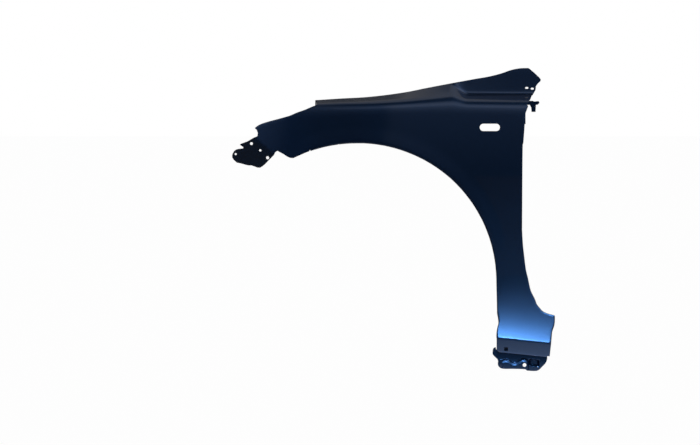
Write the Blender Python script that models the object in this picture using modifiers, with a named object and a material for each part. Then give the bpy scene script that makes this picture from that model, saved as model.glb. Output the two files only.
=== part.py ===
"""Left front fender of a small car: one pressed steel panel with its two spot-welded brackets.

The design lies in the wheel's own frame, in millimetres: X runs rearward, Y inboard and Z up from the
wheel's centre. The panel's outer face looks to -Y. Everything hangs on one empty, which puts the origin
on the hood ledge's second bolt pad, where the fender is fixed first.
"""

import math

import bmesh
import bpy
import numpy as np
from mathutils import Vector
from mathutils.geometry import delaunay_2d_cdt

MM = 0.001

# Sheet and bends
SHEET = 0.8
BEND_RADIUS = 3.0
SEAT_GAP = 0.3

# Wheel arch: a round opening that runs straight down behind the wheel
ARCH_RADIUS = 333.0
ARCH_FRONT_ANGLE = 110.0
TOOTH_ANGLE = 118.4
LIP_FLARE = 1.5
LIP_WIDTH = 42.0
ARCH_FLANGE = 20.0
LINER_HOLE = 7.0
LINER_HOLES = 6

# Side face: wrap towards the bumper, crown towards the shoulder, flare towards the sill
LEG_WIDTH = 61.0
WRAP_RATE = 5.4e-4
WRAP_START = 120.0
CROWN_RATE = 4.0e-4
CROWN_BELOW_SHOULDER = 180.0
FLARE_TOP = 20.0
FLARE_DEPTH = 30.0
CREASE_DROP = 133.0
CREASE_FALL = 12.5
CREASE_BLEND = 4.0
LOWER_FACE_LEAN = 0.10
LOWER_FACE_HEIGHT = 34.0
LOWER_BEND_FALL = 11.0
LOWER_FLANGE = 24.0
DOOR_FLANGE = 14.0

# Shoulder, ledge, sail and hood edge, in a section across the car
SHOULDER_RISE = 95.0
SHOULDER_SETBACK = 27.0
LEDGE_WIDTH = 58.0
LEDGE_RISE = 116.0
LEDGE_FILLET = 9.0
SAIL_FRONT = -112.0
SAIL_LEAN = 7.0
HOOD_EDGE_RADIUS = 3.5
HOOD_WALL = 26.0
HOOD_PAD = 30.0
HOOD_FLANGE = 17.0
PAD_REACH = 15.0
PAD_RAMP = 16.0
HOOD_BOLT_HOLE = 9.0
HEADLIGHT_FLANGE = 12.0
SAIL_HEM = 8.0

# Bumper tab at the front: the skin turned inboard beyond a slanted bend
TAB_BEND_SLOPE = 0.85
TAB_BEND_BLEND = 5.0
TAB_HOLE = 7.0

# Side lamp hole and small holes
LAMP_HOLE_LENGTH = 48.5
LAMP_HOLE_HEIGHT = 17.5
SAIL_SLOT = (7.5, 4.5)
SQUARE_HOLE = 9.0

# Sill bracket: a stamped plate under the lower flange
SILL_PLATE_SETBACK = 12.0
SILL_TOP_FLANGE = 14.0
SILL_TAB_WIDTH = 26.0
SILL_TAB_HEIGHT = 24.0
SILL_EMBOSS = 8.0
SILL_POCKET = 9.0
SILL_BOLT_HOLE = 9.0

# Rear upper bracket: an angle with two prongs behind the door edge
ANGLE_SHEET = 1.2
ANGLE_FOOT = 18.0
ANGLE_DEPTH = 26.0

# Mesh spacing
SKIN_STEP = 15.0
LEG_STEP = 9.5
EDGE_STEP = 8.5
COLUMN_STEP = 11.0
PLATE_STEP = 3.4
BEND_STEPS = 3
ROLL_STEPS = 6
FILLET_STEPS = 3
RIM_STEPS = 2
FLAT_ROWS = 1

CUT_REACH = 12.0


def tooth_point():
    """Front end of the wheel arch, which the headlight edge and the bumper tab are placed from."""
    angle = math.radians(TOOTH_ANGLE)
    return ARCH_RADIUS * math.cos(angle), ARCH_RADIUS * math.sin(angle)


def front(offset_x, offset_z):
    """A point placed from the arch's front tooth."""
    tooth_x, tooth_z = tooth_point()
    return tooth_x + offset_x, tooth_z + offset_z


def rear(offset_x, height):
    """A point of the rear leg: behind the arch's straight edge, at a height over the wheel's centre."""
    return ARCH_RADIUS + offset_x, height


def sill(offset_x, rise):
    """A point near the sill: behind the arch's straight edge, at a height over the crease's front end."""
    return ARCH_RADIUS + offset_x, rise - CREASE_DROP


def upper_rear(offset_x, rise):
    """A point of the upper door edge: behind the arch, at a height over its top."""
    return ARCH_RADIUS + LEG_WIDTH + offset_x, ARCH_RADIUS + rise


def smooth_curve(points, x):
    """Value at x of a smooth curve through points, straight beyond its ends."""
    knots = np.array(points, dtype=float)
    slopes = np.gradient(knots[:, 1], knots[:, 0])
    if x <= knots[0, 0]:
        return knots[0, 1] + slopes[0] * (x - knots[0, 0])
    if x >= knots[-1, 0]:
        return knots[-1, 1] + slopes[-1] * (x - knots[-1, 0])
    index = int(np.searchsorted(knots[:, 0], x, side="right")) - 1
    span = knots[index + 1, 0] - knots[index, 0]
    t = (x - knots[index, 0]) / span
    start, end = knots[index, 1], knots[index + 1, 1]
    lead, trail = slopes[index] * span, slopes[index + 1] * span
    return ((1 + 2 * t) * (1 - t) ** 2 * start + t * (1 - t) ** 2 * lead
            + t * t * (3 - 2 * t) * end + t * t * (t - 1) * trail)


def ease(value, start, end):
    """Smooth step from 0 at start to 1 at end."""
    t = min(1.0, max(0.0, (value - start) / (end - start)))
    return t * t * (3 - 2 * t)


def soft_corner(distance, blend):
    """Zero before a bend line and equal to the distance beyond it, rounded over the blend."""
    if distance <= -blend:
        return 0.0
    if distance >= blend:
        return distance
    return (distance + blend) ** 2 / (4 * blend)


# Form lines of the upper body

def shoulder_height(x):
    """Height of the shoulder's sharp corner, before it is rounded."""
    line = [(front(40, 0)[0], -8.0), (0.0, -1.5), (130.0, 3.0), (rear(67, 0)[0], 0.0)]
    return ARCH_RADIUS + SHOULDER_RISE + smooth_curve(line, x)


def hood_height(x):
    """Height of the hood edge, the panel's upper outline."""
    line = [(front(56, 0)[0], 100.5), (-45.0, 104.4), (22.0, 108.2), (80.0, 114.6), (125.0, 121.5), (159.0, 128.5),
            (rear(-133, 0)[0], 136.5), (rear(-52, 0)[0], 151.5), (rear(-13, 0)[0], 158.5),
            (rear(15, 0)[0], 166.0), (rear(35, 0)[0], 173.0), (rear(56, 0)[0], 177.2),
            (rear(80, 0)[0], 178.0)]
    return ARCH_RADIUS + smooth_curve(line, x)


def top_width(x):
    """How far inboard of the shoulder corner the hood edge lies."""
    line = [(front(56, 0)[0], 44.0), (100.0, 70.0), (rear(-50, 0)[0], LEDGE_WIDTH + SAIL_LEAN),
            (rear(100, 0)[0], LEDGE_WIDTH + SAIL_LEAN)]
    return smooth_curve(line, x)


def crease_height(x):
    """Height of the crease that ends the flare over the sill."""
    return -CREASE_DROP - CREASE_FALL * (x - ARCH_RADIUS) / (2 * LEG_WIDTH)


def lower_bend_height(x):
    """Height of the bend that turns the lower flange inboard."""
    return -CREASE_DROP - LOWER_FACE_HEIGHT - LOWER_BEND_FALL * (x - ARCH_RADIUS) / (2 * LEG_WIDTH)


def tab_bend_distance(x, z):
    """Distance beyond the bumper tab's bend line, towards its outer end."""
    if x > tooth_point()[0] - 20:
        return -SKIN_STEP
    start, end = front(-93, 49), front(-45, 8)
    along = Vector((end[0] - start[0], end[1] - start[1])).normalized()
    return (x - start[0]) * along.y - (z - start[1]) * along.x


def skin_y(x, z):
    """Depth of the side face at a point of the side view, from the sill up to the shoulder."""
    wrap = WRAP_RATE * max(0.0, WRAP_START - x) ** 2
    crown_start = ARCH_RADIUS + SHOULDER_RISE - CROWN_BELOW_SHOULDER
    crown = CROWN_RATE * max(0.0, z - crown_start) ** 2
    crease = crease_height(x)
    flare_height = FLARE_TOP - crease
    fall = max(0.0, FLARE_TOP - z)
    bulge = FLARE_DEPTH * (fall / flare_height) ** 2
    slope = 2 * FLARE_DEPTH * fall / flare_height ** 2
    if z < crease:
        bulge = FLARE_DEPTH + 2 * FLARE_DEPTH / flare_height * (crease - z)
        slope = 2 * FLARE_DEPTH / flare_height
    below = soft_corner(crease - z, CREASE_BLEND)
    bulge -= (slope + LOWER_FACE_LEAN) * below
    edge = math.hypot(x, z) - ARCH_RADIUS if z > 0 else x - ARCH_RADIUS
    lip = LIP_FLARE * (1 - ease(edge, 0.0, LIP_WIDTH)) * ease(z, -60.0, 30.0)
    lip *= ease(x, tooth_point()[0] - 10, tooth_point()[0] + 60)
    tab = TAB_BEND_SLOPE * soft_corner(tab_bend_distance(x, z), TAB_BEND_BLEND)
    return wrap + crown - bulge - lip + tab


# Section across the upper body

def corner_points(before, corner, after, setback_in, setback_out, count):
    """Points of a rounded corner, from setback_in before it to setback_out past it."""
    setback_in = min(setback_in, 0.45 * (before - corner).length)
    setback_out = min(setback_out, 0.45 * (after - corner).length)
    start = corner + (before - corner).normalized() * setback_in
    end = corner + (after - corner).normalized() * setback_out
    points = []
    for step in range(count + 1):
        t = step / count
        points.append(start * (1 - t) ** 2 + corner * 2 * t * (1 - t) + end * t * t)
    return points


def hood_bolt_places():
    """Where along the hood ledge its bolts are."""
    return (front(95, 0)[0], 70.0, rear(-140, 0)[0], rear(-25, 0)[0])


def pad_nearness(x):
    """1 on a bolt pad of the hood ledge, falling to 0 past its ramp."""
    gap = min(abs(x - place) for place in hood_bolt_places())
    return 1 - ease(gap, PAD_REACH, PAD_REACH + PAD_RAMP)


def ledge_height(x):
    """Height of the hood ledge: level on each bolt pad, and following the hood edge between them."""
    wall = HOOD_WALL + (SAIL_HEM - HOOD_WALL) * ease(x, rear(2, 0)[0], rear(30, 0)[0])
    height = hood_height(x) - wall
    nearest = min(hood_bolt_places(), key=lambda place: abs(x - place))
    level = hood_height(nearest) - HOOD_WALL
    return height + (level - height) * pad_nearness(x)


def section(x):
    """Rows of the upper body's section at x, as (y, z), from the side face to the hood ledge's edge."""
    shoulder_z = shoulder_height(x)
    skin = Vector((skin_y(x, shoulder_z - SHOULDER_SETBACK), shoulder_z - SHOULDER_SETBACK))
    shoulder = Vector((skin_y(x, shoulder_z), shoulder_z))
    edge = Vector((shoulder.x + top_width(x), hood_height(x)))
    share = LEDGE_WIDTH / (LEDGE_WIDTH + SAIL_LEAN)
    plain = shoulder.lerp(edge, share)
    stepped = Vector((shoulder.x + LEDGE_WIDTH, ARCH_RADIUS + LEDGE_RISE))
    sail = ease(x, ARCH_RADIUS + SAIL_FRONT, ARCH_RADIUS + SAIL_FRONT + 45)
    ledge = plain.lerp(stepped, sail)
    ledge_z = ledge_height(x)
    foot = Vector((edge.x + HOOD_EDGE_RADIUS, ledge_z))
    hood_side = Vector((edge.x + HOOD_EDGE_RADIUS, edge.y))
    reach = HOOD_FLANGE + (HOOD_PAD - HOOD_FLANGE) * pad_nearness(x)
    reach += (4.0 - reach) * ease(x, rear(2, 0)[0], rear(30, 0)[0])
    end = foot + Vector((reach, 0.0))
    below = shoulder + (skin - shoulder) * 2.3
    roll = corner_points(below, shoulder, ledge, SHOULDER_SETBACK, SHOULDER_SETBACK, ROLL_STEPS)
    roll[0] = skin
    fillet = corner_points(shoulder, ledge, edge, LEDGE_FILLET, LEDGE_FILLET, FILLET_STEPS)
    rim = corner_points(ledge, edge, hood_side, HOOD_EDGE_RADIUS, HOOD_EDGE_RADIUS / 2, RIM_STEPS)
    toe = corner_points(hood_side, foot, end, BEND_RADIUS, BEND_RADIUS, RIM_STEPS)
    pieces = [roll, between(roll[-1], fillet[0]), fillet, between(fillet[-1], rim[0]), rim,
              between(rim[-1], toe[0]), toe, between(toe[-1], end), [end]]
    return [point for piece in pieces for point in piece]


def between(start, end):
    """Points that divide a straight stretch of the section, without its ends."""
    return [start.lerp(end, (k + 1) / (FLAT_ROWS + 1)) for k in range(FLAT_ROWS)]


def section_stations():
    """Where each row of the section lies: 0 to 1 round the shoulder, 2 to 3 in the fillet, 4 at the hood edge."""
    shoulder = [k / ROLL_STEPS for k in range(ROLL_STEPS + 1)]
    flat = [1 + (k + 1) / (FLAT_ROWS + 1) for k in range(FLAT_ROWS)]
    fillet = [2 + k / FILLET_STEPS for k in range(FILLET_STEPS + 1)]
    sail = [3 + (k + 1) / (FLAT_ROWS + 1) for k in range(FLAT_ROWS)]
    return shoulder + flat + fillet + sail + [4.0] * (2 * (RIM_STEPS + 1) + 2 * FLAT_ROWS + 1)



class Sheet:
    """An open pressed sheet: shared points and faces wound so that their normals look outward."""

    def __init__(self):
        self.points = []
        self.faces = []

    def add_point(self, point):
        self.points.append(Vector(point))
        return len(self.points) - 1

    def add_strip(self, lower, upper):
        """Quads between two rows of point indices, the upper row lying to the left of the lower one."""
        for k in range(len(lower) - 1):
            self.faces.append((lower[k], lower[k + 1], upper[k + 1], upper[k]))

    def normals(self):
        """Outward normal at each point, averaged over its faces."""
        sums = [Vector() for _ in self.points]
        for face in self.faces:
            a, b, c = (self.points[i] for i in face[:3])
            normal = (b - a).cross(c - a)
            for index in face:
                sums[index] += normal
        return [total.normalized() for total in sums]

    def add_flange(self, chain, width, turn=90.0, radius=BEND_RADIUS):
        """Bend the sheet inward along a boundary chain, or outward with a negative turn and radius.

        The width is a number or a function of 0 to 1. Returns the flange's free edge.
        """
        directed = set()
        for face in self.faces:
            directed.update(zip(face, face[1:] + face[:1]))
        if (chain[0], chain[1]) not in directed:
            chain = chain[::-1]
        normals = self.normals()
        steps = BEND_STEPS
        rows = [[] for _ in range(steps + 1)]
        for k, index in enumerate(chain):
            before = self.points[chain[max(k - 1, 0)]]
            after = self.points[chain[min(k + 1, len(chain) - 1)]]
            normal = normals[index]
            out = (after - before).cross(normal).normalized()
            point = self.points[index]
            for step in range(1, steps + 1):
                angle = math.radians(turn) * step / steps
                bent = out * radius * math.sin(angle) - normal * radius * (1 - math.cos(angle))
                rows[step - 1].append(self.add_point(point + bent))
            full = math.radians(turn)
            reach = width(k / (len(chain) - 1)) if callable(width) else width
            lead = out * math.cos(full) - normal * math.sin(full)
            end = self.points[rows[steps - 1][-1]] + lead * max(1.0, reach - radius)
            rows[steps].append(self.add_point(end))
        previous = chain
        for row in rows:
            self.add_strip(row, previous)
            previous = row
        return previous


def resample(points, step):
    """Points along an outline piece at even spacing, its corners kept where given as separate pieces."""
    line = np.array(points, dtype=float)
    lengths = np.hypot(*np.diff(line, axis=0).T)
    total = np.concatenate([[0.0], np.cumsum(lengths)])
    count = max(1, round(total[-1] / step))
    at = np.linspace(0.0, total[-1], count + 1)
    return [(float(np.interp(a, total, line[:, 0])), float(np.interp(a, total, line[:, 1]))) for a in at]


def rounded(points, step):
    """Points along a smooth curve through a few outline points, at even spacing."""
    line = [Vector(point) for point in points]
    dense = []
    for k in range(len(line) - 1):
        before = line[max(k - 1, 0)]
        after = line[min(k + 2, len(line) - 1)]
        lead = (line[k + 1] - before) / 2
        trail = (after - line[k]) / 2
        for part in range(8):
            t = part / 8
            dense.append((1 + 2 * t) * (1 - t) ** 2 * line[k] + t * (1 - t) ** 2 * lead
                         + t * t * (3 - 2 * t) * line[k + 1] + t * t * (t - 1) * trail)
    dense.append(line[-1])
    return resample(dense, step)


def inset(points, distance):
    """An open line moved to its left by a distance, with mitred corners."""
    line = [Vector(point) for point in points]
    moved = []
    for k, point in enumerate(line):
        lead = (point - line[k - 1]).normalized() if k else None
        trail = (line[k + 1] - point).normalized() if k < len(line) - 1 else None
        lead, trail = lead or trail, trail or lead
        side = Vector((-lead.y, lead.x)) + Vector((-trail.y, trail.x))
        side.normalize()
        miter = max(0.6, side.dot(Vector((-trail.y, trail.x))))
        moved.append(tuple(point + side * distance / miter))
    return moved


def inside(loop, points):
    """Which points lie inside a closed loop."""
    x, z = points[:, 0], points[:, 1]
    result = np.zeros(len(points), dtype=bool)
    for (x0, z0), (x1, z1) in zip(loop, loop[1:] + loop[:1]):
        if z0 == z1:
            continue
        crosses = (z0 > z) != (z1 > z)
        result ^= crosses & (x < (x1 - x0) * (z - z0) / (z1 - z0) + x0)
    return result


def fill_outline(sheet, loop, lines, step_at, depth):
    """Triangulate a closed outline with fold lines and inner points, and lift it to its depth.

    Returns the sheet's point index for each point of the loop.
    """
    low = np.min(loop, axis=0)
    high = np.max(loop, axis=0)
    finest = min(step_at(z) for z in np.linspace(low[1], high[1], 50))
    inner = []
    z = low[1] + finest / 2
    row = 0
    while z < high[1]:
        step = step_at(z)
        for x in np.arange(low[0] + step * (0.25 + 0.5 * (row % 2)), high[0], step):
            inner.append((x, z, step))
        z += step * 0.87
        row += 1
    inner = np.array(inner)
    kept = inner[inside(loop, inner)]
    fixed = np.array(loop + [point for line in lines for point in line])
    for start in range(0, len(fixed), 64):
        gap = np.hypot(kept[:, None, 0] - fixed[None, start:start + 64, 0],
                       kept[:, None, 1] - fixed[None, start:start + 64, 1]).min(axis=1)
        kept = kept[gap > 0.62 * kept[:, 2]]
    coordinates = [Vector(p) for p in loop]
    edges = [(k, (k + 1) % len(loop)) for k in range(len(loop))]
    for line in lines:
        first = len(coordinates)
        coordinates += [Vector(p) for p in line]
        edges += [(first + k, first + k + 1) for k in range(len(line) - 1)]
    coordinates += [Vector((p[0], p[1])) for p in kept]
    vertices, _, faces, sources, _, _ = delaunay_2d_cdt(coordinates, edges, [], 1, 1e-5)
    index_of = {}
    numbers = []
    for place, (vertex, source) in enumerate(zip(vertices, sources)):
        number = sheet.add_point((vertex.x, depth(vertex.x, vertex.y), vertex.y))
        numbers.append(number)
        for original in source:
            index_of[original] = number
    for face in faces:
        a, b, c = (vertices[i] for i in face)
        turned = (b.x - a.x) * (c.y - a.y) - (b.y - a.y) * (c.x - a.x) < 0
        order = reversed(face) if turned else face
        sheet.faces.append(tuple(numbers[i] for i in order))
    return [index_of[k] for k in range(len(loop))]


# Outline of the side face, seen from outside: counter-clockwise from the arch's tooth

def arch_line():
    """Arch edge from its front end round to the straight edge and the sill."""
    first, last = math.radians(ARCH_FRONT_ANGLE), 0.0
    count = round(ARCH_RADIUS * (first - last) / EDGE_STEP)
    arc = []
    for k in range(count + 1):
        angle = first + (last - first) * k / count
        arc.append((ARCH_RADIUS * math.cos(angle), ARCH_RADIUS * math.sin(angle)))
    straight = resample([rear(0, 0), sill(1.6, 61)], EDGE_STEP)
    relief = rounded([sill(1.6, 61), sill(4.5, 45), sill(4.5, 35), sill(0.8, 19), sill(0, 1),
                      rear(0, lower_bend_height(ARCH_RADIUS) + 1)], EDGE_STEP)
    return arc + straight[1:] + relief[1:]


def tooth_line():
    """Raw edge from the notch beside the bumper tab, round the arch's tooth to the arch."""
    edge = []
    for angle in (ARCH_FRONT_ANGLE + 2.5, ARCH_FRONT_ANGLE + 0.6, ARCH_FRONT_ANGLE):
        turn = math.radians(angle)
        edge.append((ARCH_RADIUS * math.cos(turn), ARCH_RADIUS * math.sin(turn)))
    corner = [front(-30, 20.5), front(-19.5, 11.2), front(-12, 6), front(-4, 2.6), front(3, 2.2)]
    return corner + edge


def door_line():
    """Door edge from its bottom corner up to the shoulder."""
    toe_x = rear(127.5, 0)[0]
    corner = resample([(toe_x, lower_bend_height(toe_x)), sill(130.6, -17), sill(132.4, 3)], EDGE_STEP)
    foot = rounded([sill(132.4, 3), sill(134.2, 17), sill(139.4, 33), sill(140.2, 53)], EDGE_STEP)
    flare = rounded([sill(140.2, 53), sill(124, 57), sill(111, 63), sill(103.5, 71), sill(96.5, 80),
                     sill(92, 92), sill(82, 113), rear(LEG_WIDTH + 14.5, 8.6), rear(LEG_WIDTH + 9.5, 30),
                     rear(LEG_WIDTH + 5.5, 62), rear(LEG_WIDTH + 2.4, 90), rear(LEG_WIDTH + 0.4, 125)],
                    EDGE_STEP)
    upper = rounded([rear(LEG_WIDTH + 0.4, 125), upper_rear(1.6, -22), upper_rear(3.4, 0), upper_rear(6.2, 38),
                     upper_rear(7.2, 66)], EDGE_STEP)
    return corner + foot[1:] + flare[1:] + upper[1:]


def headlight_line():
    """Headlight edge from the shoulder down to the panel's front tip."""
    return rounded([front(60.5, 133.2), front(45, 126.6), front(30, 119.5), front(10, 112), front(-6.7, 104.4), front(-30.7, 97.2),
                    front(-57, 90), front(-78.5, 82.5), front(-90.2, 74.4)], EDGE_STEP)


def tab_line():
    """Raw edge of the bumper tab, from the headlight edge's tip round to the notch beside the arch."""
    neck = [front(-85, 69.5), front(-82.1, 61.5), front(-83.3, 54)]
    top = [front(-92.4, 50.2), front(-107.3, 41), front(-123.9, 34.4), front(-125.4, 31.7)]
    slot = [front(-117.4, 26.6), front(-117.8, 23.4)]
    nose = rounded([front(-124.4, 22.4), front(-135, 20.2), front(-142, 13), front(-145, 2.6),
                    front(-141, -5.1), front(-133, -12.1)], 6.0)
    bottom = rounded([front(-133, -12.1), front(-122, -14), front(-107.5, -17.8), front(-96, -18.2),
                      front(-79.4, -23.4), front(-67.4, -16), front(-55.4, -3.4)], 7.0)
    side = [front(-43.4, 9), front(-40.5, 15.6), front(-35.2, 19.4)]
    return neck + top + slot + nose + bottom[1:] + side


def skin_step(z):
    """Spacing of the side face's points at a height."""
    return LEG_STEP if z < FLARE_TOP else SKIN_STEP


def fold_lines():
    """Fold lines of the side face: the crease over the sill and the bumper tab's bend."""
    lines = []
    for shift in (-CREASE_BLEND, 0.0, CREASE_BLEND):
        ends = [(x, crease_height(x) + shift) for x in (rear(6, 0)[0], rear(125, 0)[0])]
        lines.append(resample(ends, LEG_STEP))
    start, end = front(-87, 43.5), front(-47.5, 9.5)
    along = Vector((end[0] - start[0], end[1] - start[1])).normalized()
    for shift in (-TAB_BEND_BLEND, 0.0, TAB_BEND_BLEND):
        aside = Vector((along.y, -along.x)) * shift
        lines.append(resample([Vector(start) + aside, Vector(end) + aside], 9.0))
    return lines


def row_end_right(station):
    """Where the upper body's rows end at the rear, before the sail's corner is cut."""
    ends = [(0, 7.5 - BEND_RADIUS), (0.5, 12.0), (1, 20.5), (2, 24.5), (3, 46.0), (4, 46.0)]
    return upper_rear(float(np.interp(station, *zip(*ends))), 0)[0]


def hood_corner():
    """Where the hood edge starts at the front."""
    return front(56, 0)[0]


def row_starts():
    """Where each row of the upper body starts at the front, along the headlight edge up to the hood edge."""
    edge = inset(headlight_line(), BEND_RADIUS)[::-1]
    places, heights = zip(*edge)
    starts = []
    for row, station in enumerate(section_stations()):
        x = hood_corner()
        if station < 4:
            for _ in range(12):
                x = float(np.interp(section(x)[row].y, heights, places))
        starts.append(x)
    return starts


def column_places():
    """Places along the hood edge where the upper body's columns stand, dense at the bolt pads' edges."""
    first, last = hood_corner(), row_end_right(4)
    stops = [first]
    for place in hood_bolt_places():
        stops += [place - PAD_REACH - PAD_RAMP, place - PAD_REACH, place + PAD_REACH,
                  place + PAD_REACH + PAD_RAMP]
    stops = sorted(stop for stop in stops if first <= stop <= last) + [last]
    places = [first]
    for start, end in zip(stops, stops[1:]):
        if end - start < 1.0:
            continue
        count = max(1, round((end - start) / COLUMN_STEP))
        places += [start + (end - start) * (k + 1) / count for k in range(count)]
    return places


def upper_body(sheet):
    """Rows of points from the shoulder over ledge, sail and hood edge to the hood ledge's rim."""
    places = column_places()
    first, last = places[0], places[-1]
    rows = []
    starts = row_starts()
    for row, station in enumerate(section_stations()):
        numbers = []
        for place in places:
            x = place + (starts[row] - first) * (1 - ease(place, first, first + 110))
            x += (row_end_right(station) - last) * ease(place, last - 130, last)
            spot = section(x)[row]
            numbers.append(sheet.add_point((x, spot.x, spot.y)))
        rows.append(numbers)
    for lower, upper in zip(rows, rows[1:]):
        sheet.add_strip(lower, upper)
    return rows


def fender_sheet():
    """The whole panel as one open sheet: side face, upper body and bent flanges."""
    sheet = Sheet()
    rows = upper_body(sheet)
    top = [(sheet.points[i].x, sheet.points[i].z) for i in reversed(rows[0])]
    tooth = tooth_line()
    arch = inset(arch_line(), BEND_RADIUS)
    door = inset(door_line(), BEND_RADIUS)
    light = inset(headlight_line(), BEND_RADIUS)
    first_bottom, last_bottom = arch[-1], door[0]
    bottom = resample([first_bottom, last_bottom], LEG_STEP)
    door = [p for p in door if p[1] < top[0][1] - EDGE_STEP / 2]
    light = [p for p in light if p[0] < top[-1][0] - EDGE_STEP / 2]
    tab = tab_line()
    pieces = [tooth[1:-1], arch, bottom[1:-1], door, top, light, tab]
    loop = [point for piece in pieces for point in piece]
    starts = np.cumsum([0] + [len(piece) for piece in pieces])
    skin = Sheet()
    numbers = fill_outline(skin, loop, fold_lines(), skin_step, skin_y)
    shared = dict(zip(numbers[starts[4]:starts[5]], reversed(rows[0])))
    moved = {}
    for number, point in enumerate(skin.points):
        moved[number] = shared[number] if number in shared else sheet.add_point(point)
    sheet.faces += [tuple(moved[i] for i in face) for face in skin.faces]
    numbers = [moved[i] for i in numbers]

    def chain(piece):
        return numbers[starts[piece]:starts[piece + 1]]

    stations = section_stations()
    door_rows = [row for row, station in zip(rows, stations) if station <= 0.5]
    light_rows = [row for row, station in zip(rows, stations) if station <= 2.5]
    door_side = chain(3) + [row[-1] for row in door_rows]
    light_side = [row[0] for row in light_rows[::-1]] + chain(5)
    sheet.add_flange(chain(1), lambda t: ARCH_FLANGE * min(1, 0.25 + 6 * t, 0.35 + 9 * (1 - t)))
    sheet.add_flange(door_side, lambda t: DOOR_FLANGE * min(1, 0.3 + 12 * t, 0.4 + 8 * (1 - t)))
    sheet.add_flange(light_side, lambda t: HEADLIGHT_FLANGE * min(1, 0.3 + 6 * t, 0.3 + 6 * (1 - t)))
    sheet.add_flange(chain(2), LOWER_FLANGE)
    return sheet


# Blender objects

def new_collection(name):
    collection = bpy.data.collections.new(name)
    bpy.context.scene.collection.children.link(collection)
    return collection


def paint_material():
    """Dark blue body paint under clear coat."""
    material = bpy.data.materials.new("body_paint")
    material.use_nodes = True
    shader = material.node_tree.nodes["Principled BSDF"]
    shader.inputs["Base Color"].default_value = (0.012, 0.03, 0.085, 1.0)
    shader.inputs["Metallic"].default_value = 0.5
    shader.inputs["Roughness"].default_value = 0.3
    shader.inputs["Coat Weight"].default_value = 1.0
    return material


def sheet_object(name, sheet, thickness, collection, parent, material):
    """Make an open sheet an object, thickened inward by Solidify."""
    mesh = bpy.data.meshes.new(name)
    mesh.from_pydata([point * MM for point in sheet.points], [], sheet.faces)
    mesh.validate()
    mesh.shade_smooth()
    mesh.set_sharp_from_angle(angle=math.radians(40))
    thing = bpy.data.objects.new(name, mesh)
    collection.objects.link(thing)
    thing.parent = parent
    mesh.materials.append(material)
    solidify = thing.modifiers.new("sheet_thickness", "SOLIDIFY")
    solidify.thickness = thickness * MM
    solidify.offset = -1.0
    return thing


def prism(bm, outline, middle, axis, reach):
    """Add a closed prism: an outline in the plane across an axis, reaching both ways from its middle."""
    axis = Vector(axis).normalized()
    side = Vector((0, 0, 1)).cross(axis)
    side = side.normalized() if side.length > 0.1 else Vector((1, 0, 0))
    up = axis.cross(side)
    ends = []
    for way in (-reach, reach):
        ends.append([bm.verts.new((Vector(middle) + side * a + up * b + axis * way) * MM)
                     for a, b in outline])
    bm.faces.new(ends[0])
    bm.faces.new(ends[1][::-1])
    for k in range(len(outline)):
        j = (k + 1) % len(outline)
        bm.faces.new((ends[0][j], ends[0][k], ends[1][k], ends[1][j]))


def slot_outline(length, height, sides=12):
    """A slot with round ends, or a circle where its length is its height."""
    radius = height / 2
    shift = length / 2 - radius
    points = []
    for k in range(sides + 1):
        angle = -math.pi / 2 + math.pi * k / sides
        points.append((shift + radius * math.cos(angle), radius * math.sin(angle)))
    for k in range(sides + 1):
        angle = math.pi / 2 + math.pi * k / sides
        points.append((-shift + radius * math.cos(angle), radius * math.sin(angle)))
    if shift < 1e-6:
        return points[:sides] + points[sides + 1:-1]
    return points


def cutter_object(name, cuts, target, collection, parent, solver="EXACT"):
    """One cutter of several closed prisms, taken out of its target."""
    bm = bmesh.new()
    for outline, middle, axis, reach in cuts:
        prism(bm, outline, middle, axis, reach)
    bmesh.ops.recalc_face_normals(bm, faces=bm.faces)
    mesh = bpy.data.meshes.new(name)
    bm.to_mesh(mesh)
    bm.free()
    cutter = bpy.data.objects.new(name, mesh)
    collection.objects.link(cutter)
    cutter.parent = parent
    cutter.hide_render = True
    cutter.display_type = "WIRE"
    boolean = target.modifiers.new(name, "BOOLEAN")
    boolean.operation = "DIFFERENCE"
    boolean.solver = solver
    boolean.object = cutter
    return cutter


def skin_cut(outline, point, reach=CUT_REACH):
    """A hole punched through the side face at a point of the side view."""
    x, z = point
    return outline, (x, skin_y(x, z), z), (0, 1, 0), reach


def hood_pad(place):
    """Middle of a bolt pad on the hood ledge."""
    edge_y = skin_y(place, shoulder_height(place)) + top_width(place) + HOOD_EDGE_RADIUS
    return Vector((place, edge_y + HOOD_PAD * 0.52, hood_height(place) - HOOD_WALL))


def square_hole_place():
    """Clip hole in the lower face, in the side view."""
    return sill(22.5, -28)


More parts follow.
